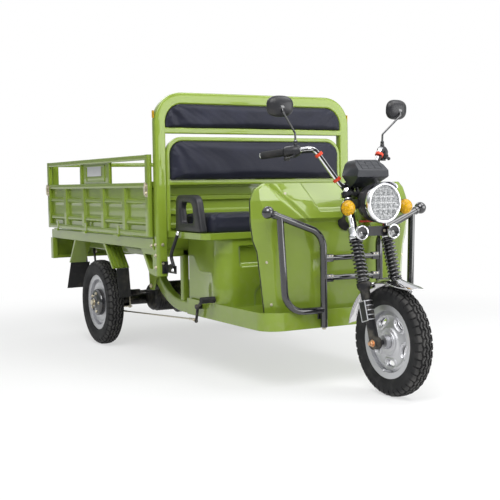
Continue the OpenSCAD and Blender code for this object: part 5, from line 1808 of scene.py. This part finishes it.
@dataclass
class Cab:
    """Seat box, bench, back rests, roll bar and hand controls."""

    shop: Workshop
    box_rear: float = 930.0
    box_front: float = 1290.0
    box_half: float = 415.0
    floor: float = 328.0
    box_top: float = 677.0
    roll_x: float = 885.0
    roll_half: float = 544.5
    roll_top: float = 1334.5

    def seat_box(self) -> Skin:
        """Moulded box under the seat: an outline carried up, pushed in and out along its normal.

        The offset is the sum of a wide pocket under the seat, a bell round each front corner that grows
        towards the floor, a shallow arched field between the feet and a top edge that draws in.
        """
        half, rear, fore = self.box_half, self.box_rear, self.box_front
        corners = table((rear, half, 0), (fore, half, 0), (fore, -half, 0), (rear, -half, 0))
        path = resample(rounded_path(corners, 80, 14), 260)
        step = np.gradient(path, axis=0)
        out = unit(points(-step[:, 1], step[:, 0], 0))
        lips = row(512, 520, 528, 536, 608, 613, 618)
        lifts = np.unique(joined(np.linspace(self.floor, self.box_top, 60), lips))
        y, z = np.abs(path[None, :, 1]), lifts[:, None]
        front = path[None, :, 0] > fore - 3
        pocket = (1 - ease(y, 312, 328)) * ease(z, 512, 536) * (1 - ease(z, 608, 618)) * front
        corner = np.exp(-(np.hypot(path[:, 0] - fore + 24, y[0] - half + 24) / 105) ** 2)[None]
        flare = corner * (1 - ease(z, 400, 590)) * 24
        arch = (1 - ease(np.hypot(y / 252, np.maximum(z - 370, 0) / 110), 0.94, 1.0)) * front
        offset = -22 * pocket + flare - 9 * arch - 5 * ease(z, 640, 677)
        rows = path[None] + out[None] * offset[..., None] + z[..., None] * UP
        inner = rows - out[None] * 4
        return Skin().slab(rows, inner)

    def roll_bar(self) -> Skin:
        """Bent box tube over the seat, and its cross bar."""
        x, half, top = self.roll_x, self.roll_half, self.roll_top
        corners = table((x, -half, 457), (x, -half, top), (x, half, top), (x, half, 457))
        skin = Skin().bar(rounded_path(corners, 121, 18), 40, 57, 8, FORWARD)
        skin.bar(table((x, -half + 20, 1174.5), (x, half - 20, 1174.5)), 29, 40, 5)
        return skin

    def foot_brackets(self) -> Skin:
        """Bracket boxes behind each roll bar foot, with a window in the outer side."""
        back = self.roll_x - 20
        outer = table((back - 166, 0, 587.7), (back + 5, 0, 587.7), (back + 5, 0, 457), (back - 66, 0, 467))
        inner = table((back - 122, 0, 562), (back - 20, 0, 562), (back - 20, 0, 489), (back - 62, 0, 491))
        skin = Skin().plate(outer, inner, row(0, 567, 0), row(0, 573, 0))
        skin.plate(outer, inner + (outer - inner) * 0.86, row(0, 534, 0), row(0, 568, 0))
        return skin.both_sides()

    def roll_bolts(self) -> Skin:
        """Plated bolts at the roll bar's feet and seat beam."""
        skin = Skin()
        for x, z in ((848, 607), (885, 613), (885, 560), (885, 500)):
            skin.bolt(row(x, 573 if x > 850 else 579, z), LEFT, 13)
        for z in (520, 613):
            skin.bolt(row(self.roll_x + 20, self.roll_half, z), FORWARD, 12)
        return skin.both_sides()

    def side_reflectors(self) -> Skin:
        """Small reflectors on the outer sides of the roll bar."""
        ends = table((self.roll_x, 574, 1236), (self.roll_x, 574, 1272))
        return Skin().bar(ends, 20, 5, 2, FORWARD).both_sides()

    def back_frame(self) -> Skin:
        """Tube frame that holds the lower back rest."""
        x, half = self.roll_x + 5, 505.7
        corners = table((x, -half, 680.5), (x, -half, 1134), (x, half, 1134), (x, half, 680.5))
        skin = Skin().bar(rounded_path(corners, 80, 16), 30, 20, 5, FORWARD)
        skin.bar(table((x, -half + 5, 918), (x, half - 5, 918)), 26, 30, 5)
        return skin

    @staticmethod
    def loop(circles: Array) -> Array:
        """Outline of a band drawn tight round circles: the farthest point in each direction.

        Args:
            circles: Rows of two places and a radius.

        Returns:
            One point for each of 96 directions.
        """
        ways = circle(96)
        reach = ways @ circles[:, :2].T + circles[:, 2]
        best = circles[np.argmax(reach, 1)]
        return best[:, :2] + best[:, 2:] * ways

    def armrests(self) -> Skin:
        """Moulded hand loops: a rounded square section between an outer and an inner band."""
        outer = self.loop(table((74, 8, 8), (112, 138, 40), (258, 120, 58), (342, 8, 8)))
        inner = self.loop(table((160, 62, 20), (158, 114, 30), (222, 106, 34), (240, 64, 22)))
        c, s = circle(24).T
        middle, half = (outer + inner) / 2, (outer - inner) / 2
        flat = middle[:, None] + half[:, None] * bent(c, 0.5)[None, :, None]
        rows = points(905 + flat[..., 0], 488 + 20 * bent(s, 0.5), 680 + flat[..., 1])
        return Skin().grid(rows, along=True).both_sides()

    def parking_lever(self) -> None:
        """Hand lever with its ratchet plate and a bright tip."""
        x0, y, z0 = 905.3, -531, 470
        corners = row(x0, y, z0) + table((106, 0, 24), (62, 0, 92), (150, 0, 204))
        path = rounded_path(corners, 30, 10)
        skin = Skin().tube(path, 8.4, 18, LEFT)
        skin.bar(table((x0 + 3, y - 4, z0), (x0 + 3, y - 4, z0 + 60)), 5.4, 32, 2, FORWARD)
        skin.bar(table((x0 + 5, y, z0 + 26), (x0 + 122, y, z0 + 26)), 40, 6, 2.5)
        angle = np.radians(np.linspace(20, 110, 40))
        teeth = 34 + 2.4 * (np.arange(40) % 2)
        arc = points(teeth * np.cos(angle), 0, teeth * np.sin(angle))
        skin.bar(row(x0 + 78, y - 6, z0 + 14) + arc, 8, 5, 1.5, LEFT)
        self.shop.make("hand_brake", skin, Body.CHASSIS, Coat.SATIN, "parking_lever")
        tip = Skin().ball(path[-1], 10.5, unit(path[-1] - path[-2]), 1.2)
        tip.bolt(row(x0 + 106, y - 9, z0 + 24), -LEFT, 13)
        self.shop.make("hand_brake_tip", tip, Body.CHASSIS, Coat.CHROME)

    def build(self) -> None:
        """Makes the cab."""
        shop, body = self.shop, Body.CHASSIS
        shop.make("seat_box_shell", self.seat_box(), body, Coat.GREEN, "seat_box", sharp=50)
        shop.keep("battery_pack", Coat.PLASTIC)
        shop.softened("seat_pan", body, Coat.GREEN, 1.3)
        shop.make("armrest_loops", self.armrests(), body, Coat.PLASTIC, "armrests", sharp=60)
        shop.make("roll_bar_tube", self.roll_bar(), body, Coat.GREEN, "roll_bar")
        shop.make("foot_brackets", self.foot_brackets(), body, Coat.GREEN)
        shop.make("roll_bolts", self.roll_bolts(), body, Coat.ZINC)
        # The amber finish gives these reflectors a faint painted glow.
        shop.make("side_reflectors", self.side_reflectors(), body, Coat.AMBER)
        shop.make("back_rest_frame", self.back_frame(), body, Coat.GREEN, "back_frame")
        self.parking_lever()
        Cushion(shop, "seat_cushion", UP, 10, 1.0).build()
        Cushion(shop, "back_cushion_low", FORWARD, 9, 1.5).build()
        Cushion(shop, "back_cushion_high", FORWARD, 9, 2.4).build()


@dataclass
class DropBoard:
    """A drop side: rails and posts round a pressed panel, drawn along X with its outer face at Y 0."""

    length: float
    bays: int
    hinges: Sequence[float]
    sign_at: float = 0.0
    height: float = 405.0
    depth: float = 22.0
    rail: float = 26.0
    edge: float = 40.0
    gap: float = 138.0
    sign_l: float = 470.0

    def __post_init__(self) -> None:
        """Starts with an empty skin."""
        self.skin = Skin()

    def panel_top(self) -> float:
        """Height of the pressed panel."""
        return self.height - self.gap - self.rail

    @staticmethod
    def gathered(lines: Array, steps: Array, even: Array) -> Array:
        """Even places, with more of them on each line and at steps to both sides of it."""
        near = lines[:, None] + joined(-steps, row(0), steps)
        return np.unique(joined(near.ravel(), even))

    def panel(self) -> None:
        """Pressed sheet: the larger of upright ribs and two level ribs, each a smooth trapezoid."""
        ribs = self.edge / 2 + np.arange(1, self.bays) * (self.length - self.edge) / self.bays
        levels = self.panel_top() * row(0.28, 0.72)
        flank = row(17, 19, 21, 23, 25, 27, 30)
        slope = row(7, 10, 13, 16, 19)
        xs = self.gathered(ribs, flank, np.linspace(10, self.length - 10, 40))
        zs = self.gathered(levels, slope, np.linspace(8, self.panel_top() + 8, 12))
        x, z = np.meshgrid(xs, zs, indexing="ij")
        upright = 18 * (1 - ease(np.min(np.abs(x[..., None] - ribs), -1), 17, 28))
        level = 12 * (1 - ease(np.min(np.abs(z[..., None] - levels), -1), 6, 18))
        y = -self.depth + 3 + np.maximum(upright, level)
        self.skin.slab(points(x, y, z), points(x, y - 2.4, z))

    def rails(self) -> None:
        """Bottom, middle and top rails and the two end posts."""
        y, half = -self.depth / 2, self.rail / 2
        for z in (half, self.panel_top() + half, self.height - half):
            self.skin.bar(table((3, y, z), (self.length - 3, y, z)), self.rail, self.depth, 4)
        for x in (self.edge / 2, self.length - self.edge / 2):
            self.skin.bar(table((x, y, 0), (x, y, self.height)), self.edge, self.depth + 0.6, 4, FORWARD)

    def sign(self) -> None:
        """Plate in the gap with a raised frame, and an upright at each end."""
        x0, x1 = self.length * self.sign_at, self.length * self.sign_at + self.sign_l
        low, high = self.panel_top() + self.rail - 4, self.height - self.rail + 4
        self.skin.bar(table((x0, -17, (low + high) / 2), (x1, -17, (low + high) / 2)), high - low, 6, 1.5)
        for x in (x0 + 12, x1 - 12):
            self.skin.bar(table((x, -12, low), (x, -12, high)), 24, 14, 3, FORWARD)
        a, b, c, d = x0 + 92, x1 - 92, low + 18, high - 18
        for z in (c, d):
            self.skin.bar(table((a, -13, z), (b, -13, z)), 8, 5, 2)
        for x in (a, b):
            self.skin.bar(table((x, -13, c), (x, -13, d)), 8, 5, 2, FORWARD)

    def straps(self) -> None:
        """Hinge barrels on the board with the straps up its outer face."""
        for x in self.hinges:
            self.skin.tube(table((x + 1, 6, -8), (x + 31, 6, -8)), 7, 20, UP)
            self.skin.bar(table((x + 16, 1.2, -9), (x + 16, 1.2, 44)), 30, 4, 1.5, FORWARD)

    def build(self) -> Skin:
        """The whole board."""
        self.panel()
        self.rails()
        if self.sign_at:
            self.sign()
        self.straps()
        return self.skin


@dataclass
class CargoBed:
    """Drop sides, floor, headboard, tail panel, guards and tail lamps."""

    shop: Workshop
    rear: float = 737.0
    length: float = 1597.0
    half: float = 597.0
    board_z: float = 653.0
    gate_half: float = 568.0

    @staticmethod
    def placed(skin: Skin, place: Array, along: Array, out: Array) -> Skin:
        """Moves a board's skin from its own axes to its place on the bed.

        Args:
            skin: Skin drawn along X with its outer face at Y 0.
            place: Where its zero point goes.
            along: Direction of its X.
            out: Direction of its Y.

        Returns:
            The same skin.
        """
        turn = table(along, out, UP)
        skin.points = [place + points @ turn for points in skin.points]
        return skin

    def boards(self) -> None:
        """Both sides and the tailgate, with their latches and blank plates."""
        shop = self.shop
        hinges = [self.rear + x for x in (-560, -60, 440)]
        for side, word, body in ((-1, "right", Body.BOARD_RIGHT), (1, "left", Body.BOARD_LEFT)):
            spot = row(-self.rear, side * self.half, self.board_z)
            axes = (spot, FORWARD, side * LEFT)
            board = DropBoard(self.length, 5, hinges, 0.373)
            skin = self.placed(board.build(), *axes)
            shop.make("board_" + word + "_panel", skin, body, Coat.GREEN, "side_board_" + word)
            latch = self.placed(self.latch(), *axes)
            shop.make("board_" + word + "_latch", latch, body, Coat.ZINC)
            blank = Skin().bar(table((708, -11.6, 336), (926, -11.6, 336)), 54, 3, 1)
            shop.make("board_" + word + "_plate", self.placed(blank, *axes), body, Coat.SILVER)
        hinges = [self.gate_half + y for y in (-420, 0, 420)]
        gate = DropBoard(2 * self.gate_half, 4, hinges)
        spot = row(-self.rear, -self.gate_half, self.board_z)
        skin = self.placed(gate.build(), spot, LEFT, -FORWARD)
        shop.make("gate_panel", skin, Body.GATE, Coat.GREEN, "tailgate")

    def latch(self) -> Skin:
        """Latch near each end of a board: a keeper, a hooked lever and its pin."""
        skin = Skin()
        for x in (20, self.length - 20):
            skin.bar(table((x, 2, 196), (x, 2, 262)), 30, 4, 1.5, FORWARD)
            path = rounded_path(table((x, 9, 205), (x, 12, 240), (x, 7, 268)), 12, 6)
            skin.tube(path, 5.5, 14)
            skin.bolt(row(x, 4, 214), LEFT, 15)
            skin.bolt(row(x, 4, 250), LEFT, 11)
        return skin

    def flaps(self) -> Skin:
        """Rubber mud flaps: sheets with a slow ripple across and a curl at the foot."""
        skin = Skin()
        rear = (row(-379, 447.5), row(-461, 285), 457, 577)
        front = (row(323, 457.5), row(349, 300), 489, 560)
        for top, foot, y0, y1 in (rear, front):
            s = np.linspace(0, 1, 26)[:, None]
            y = np.linspace(y0, y1, 24)[None]
            ripple = 5 * np.sin(y / 17) * s * (1 - 0.2 * s) + 3 * np.sin(y / 41 + 1)
            x = top[0] + (foot[0] - top[0]) * s + ripple * s
            face = points(x, y, top[1] + (foot[1] - top[1]) * s)
            skin.slab(face, face - row(4.5, 0, 0))
        return skin.both_sides()

    def tail_lamps(self) -> None:
        """Rear lamps: a ribbed red lens with an amber end in a black surround."""
        shop, body = self.shop, Body.CHASSIS
        x = -self.rear + 18
        lenses = (("red", 404, 478, Coat.RED, "tail_lamps"), ("amber", 480, 516, Coat.AMBER))
        for word, y0, y1, finish, *nodes in lenses:
            y, z = np.meshgrid(np.linspace(y0, y1, 60), np.linspace(494, 556, 24), indexing="ij")
            edge = np.minimum(np.minimum(y - y0, y1 - y), np.minimum(z - 494, 556 - z))
            bulge = 9 * ease(edge, -1, 9) + 0.7 * np.sin(y * TURN / 6)
            front = points(x - 4 - bulge, y, z)
            back = points(x - 2.5, y, z)
            skin = Skin().slab(front, back).both_sides()
            # Red and amber lenses both carry a faint painted glow, though the lamps are off.
            shop.make("tail_lens_" + word, skin, body, finish, *nodes, sharp=60)
        rim = Skin().bar(table((x - 3, 400, 525), (x - 3, 520, 525)), 70, 5, 2)
        shop.make("tail_lamp_base", rim.both_sides(), body, Coat.PLASTIC)

    def build(self) -> None:
        """Makes the cargo bed."""
        shop, body = self.shop, Body.CHASSIS
        self.boards()
        shop.softened("bed_floor", body, Coat.GREEN, 1.5, 2)
        shop.softened("headboard", body, Coat.GREEN, 1.4)
        shop.softened("tail_panel", body, Coat.GREEN, 1.4)
        shop.softened("splash_plates", body, Coat.GREEN, 1.0, 2)
        shop.make("mud_flap_sheets", self.flaps(), body, Coat.RUBBER, "mud_flaps")
        self.tail_lamps()


@dataclass
class RunningGear:
    """Frame rails, rear axle, leaf springs and the foot brake."""

    shop: Workshop
    rail_y: float = 400.0
    leaf_z: float = 310.0
    arc_r: float = 2600.0
    leaf_t: float = 8.0
    leaf_reach: float = 500.0
    eye_z: float = 370.7

    def frame(self) -> Skin:
        """Rails that drop from the bed to the floor in an arc, cross members, neck and head tube."""
        angle = np.radians(np.linspace(207, 270, 30))
        arc = points(860 + 470 * np.cos(angle), self.rail_y, 765 + 470 * np.sin(angle))
        path = joined(table((-713, self.rail_y, 558)), arc, table((1622, self.rail_y, 295)))
        skin = Skin().bar(path, 40, 60, 6, LEFT)
        skin.bar(table((846, self.rail_y, 296), (846, self.rail_y, 580)), 34, 36, 5, LEFT)
        ears = table((476, 0, 349), (524, 0, 349), (580, 0, 441), (460, 0, 481))
        for y in (self.rail_y - 31.3, self.rail_y + 25.3):
            skin.grid(table(ears + row(0, y, 0), ears + row(0, y + 6, 0)))
        skin.bar(table((480, self.rail_y, 440), (550, self.rail_y, 440)), 14, 62, 3)
        skin.bar(table((-530, self.rail_y, 484), (-530, self.rail_y, 530)), 24, 36, 4, LEFT)
        skin.both_sides()
        for x, z in ((-693, 558), (290, 558), (960, 295), (1300, 295), (1602, 295)):
            skin.bar(table((x, -self.rail_y, z), (x, self.rail_y, z)), 40, 40, 5)
        skin.bar(table((846, -546, 568), (846, 546, 568)), 40, 36, 5)
        corner, head = row(1655.1, 0, 722), self.shop.fork(row(-42, 0, 572))
        skin.tube(rounded_path(table(row(1612, 0, 295), corner, head), 60, 14), 22, 28, LEFT)
        foot = self.shop.fork(row(-42, 0, 0))
        profile = table((15.4, 502), (27, 502), (29, 506), (29, 514), (26.5, 518),
                        (26.5, 626), (29, 630), (29, 638), (27, 642), (15.4, 642))
        return skin.lathe(profile, foot, self.shop.fork_axis(), 40)

    def leaves(self) -> Skin:
        """Leaf packs: strips on arcs of one centre, each shorter than the one above, with rolled eyes."""
        skin = Skin()
        for index in range(4):
            radius = self.arc_r + (index + 0.5) * self.leaf_t
            reach = math.asin((self.leaf_reach - index * 105) / radius)
            angle = np.linspace(-reach, reach, 41)
            lift = self.leaf_z + self.arc_r - radius * np.cos(angle)
            path = points(radius * np.sin(angle), self.rail_y, lift)
            skin.bar(path, 50 - 2 * index, self.leaf_t - 0.5, 1.5, LEFT)
        eye = table((8.2, -24), (16, -24), (17, -23), (17, 23), (16, 24), (8.2, 24))
        for x in (-self.leaf_reach, self.leaf_reach):
            skin.lathe(eye, row(x, self.rail_y, self.eye_z), LEFT, 32)
        skin.bar(table((-40, self.rail_y, 308), (40, self.rail_y, 308)), 56, 20, 3, LEFT)
        for x in (-190, 190):
            skin.bar(table((x - 9, self.rail_y, 307), (x + 9, self.rail_y, 307)), 56, 30, 3, LEFT)
        return skin.both_sides()

    def spring_bolts(self) -> Skin:
        """U-bolts that clamp each leaf pack to the axle, with nuts below, and the eye bolts."""
        skin = Skin()
        for x in (-28, 28):
            corners = table((x, -33, 205), (x, -33, 324), (x, 33, 324), (x, 33, 205))
            skin.tube(rounded_path(corners + row(0, self.rail_y, 0), 14, 8), 5.5, 14)
            for y in (-33, 33):
                skin.bolt(row(x, self.rail_y + y, 208), -UP, 16)
        for x, z in ((-self.leaf_reach, self.eye_z), (self.leaf_reach, self.eye_z), (-530, 502)):
            for side in (-1, 1):
                skin.bolt(row(x, self.rail_y + side * 34, z), side * LEFT, 18)
        skin.bar(table((-46, self.rail_y, 209), (46, self.rail_y, 209)), 84, 6, 2, LEFT)
        return skin.both_sides()

    def pedal(self) -> None:
        """Foot brake: pivot, bent arm, ribbed pad, and the rod back to the axle."""
        shop, body = self.shop, Body.CHASSIS
        p = row(1096, -452, 318)
        arm = rounded_path(table(p, p + row(60, -4, 34), p + row(150, -8, 48)), 40, 10)
        skin = Skin().tube(arm, 8, 18, LEFT)
        pivot = table((0, 0), (11, 0), (12, 2), (12, 30), (10, 33), (0, 33))
        skin.lathe(pivot, p + row(0, 21, 0), -LEFT, 28)
        skin.tube(table(p, p + row(-20, 0, -72)), 7, 16, LEFT)
        skin.ball(p + row(-20, 0, -72), 9)
        shop.make("pedal_arm", skin, body, Coat.SATIN, "brake_pedal")
        s = np.linspace(0, 72, 73)
        ribs = 14.2 + 1.2 * (np.sin(s * TURN / 8) > 0)
        profile = joined(table((0, 0)), points(ribs, s), table((0, 72)))
        pad = Skin().lathe(profile, p + row(150, 14, 48), -LEFT, 28)
        shop.make("pedal_pad", pad, body, Coat.RUBBER, sharp=60)
        start, end = row(1069.4, -452, 253.2), row(60.3, -436, 190)
        along = unit(end - start)
        rod = Skin().tube(table(start, end), 3.8, 14)
        rod.tube(table(start + along * 4, start + along * 70), 6.5, 6)
        rod.tube(table(end - along * 90, end - along * 10), 5.2, 14)
        rod.bolt(start + row(0, -9, 0), -LEFT, 12)
        shop.make("brake_pull_rod", rod, body, Coat.ZINC, "brake_rod")

    def motor_fins(self) -> Skin:
        """Cooling rings round the drive motor and its end cover."""
        centre = row(170, 0, self.shop.rear_r + 30)
        skin = Skin()
        for y in np.arange(90, 262, 14):
            skin.lathe(table((77, y), (83, y), (83, y + 5), (77, y + 5)), centre, -LEFT, 48)
        return skin

    def build(self) -> None:
        """Makes the running gear."""
        shop, body = self.shop, Body.CHASSIS
        shop.make("frame_tubes", self.frame(), body, Coat.GREEN, "main_frame")
        shop.softened("rear_axle", body, Coat.SATIN, 2, 2)
        shop.softened("drive_motor", body, Coat.SATIN, 2, 2)
        shop.make("motor_fins", self.motor_fins(), body, Coat.SATIN)
        shop.make("leaf_packs", self.leaves(), body, Coat.SATIN, "leaf_springs")
        shop.make("spring_bolts", self.spring_bolts(), body, Coat.ZINC)
        shop.softened("spring_shackles", body, Coat.SATIN, 1, 2)
        self.pedal()


def main() -> None:
    """Loads the frame, makes the studio and builds each sub-assembly in order."""
    logging.basicConfig(level=logging.INFO, format="%(message)s")
    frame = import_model()
    Studio().build()
    shop = Workshop(frame)
    for assembly in (Wheels, FrontFork, SteeringHead, FrontBody, RunningGear, Cab, CargoBed):
        assembly(shop).build()


if __name__ == "__main__":
    main()
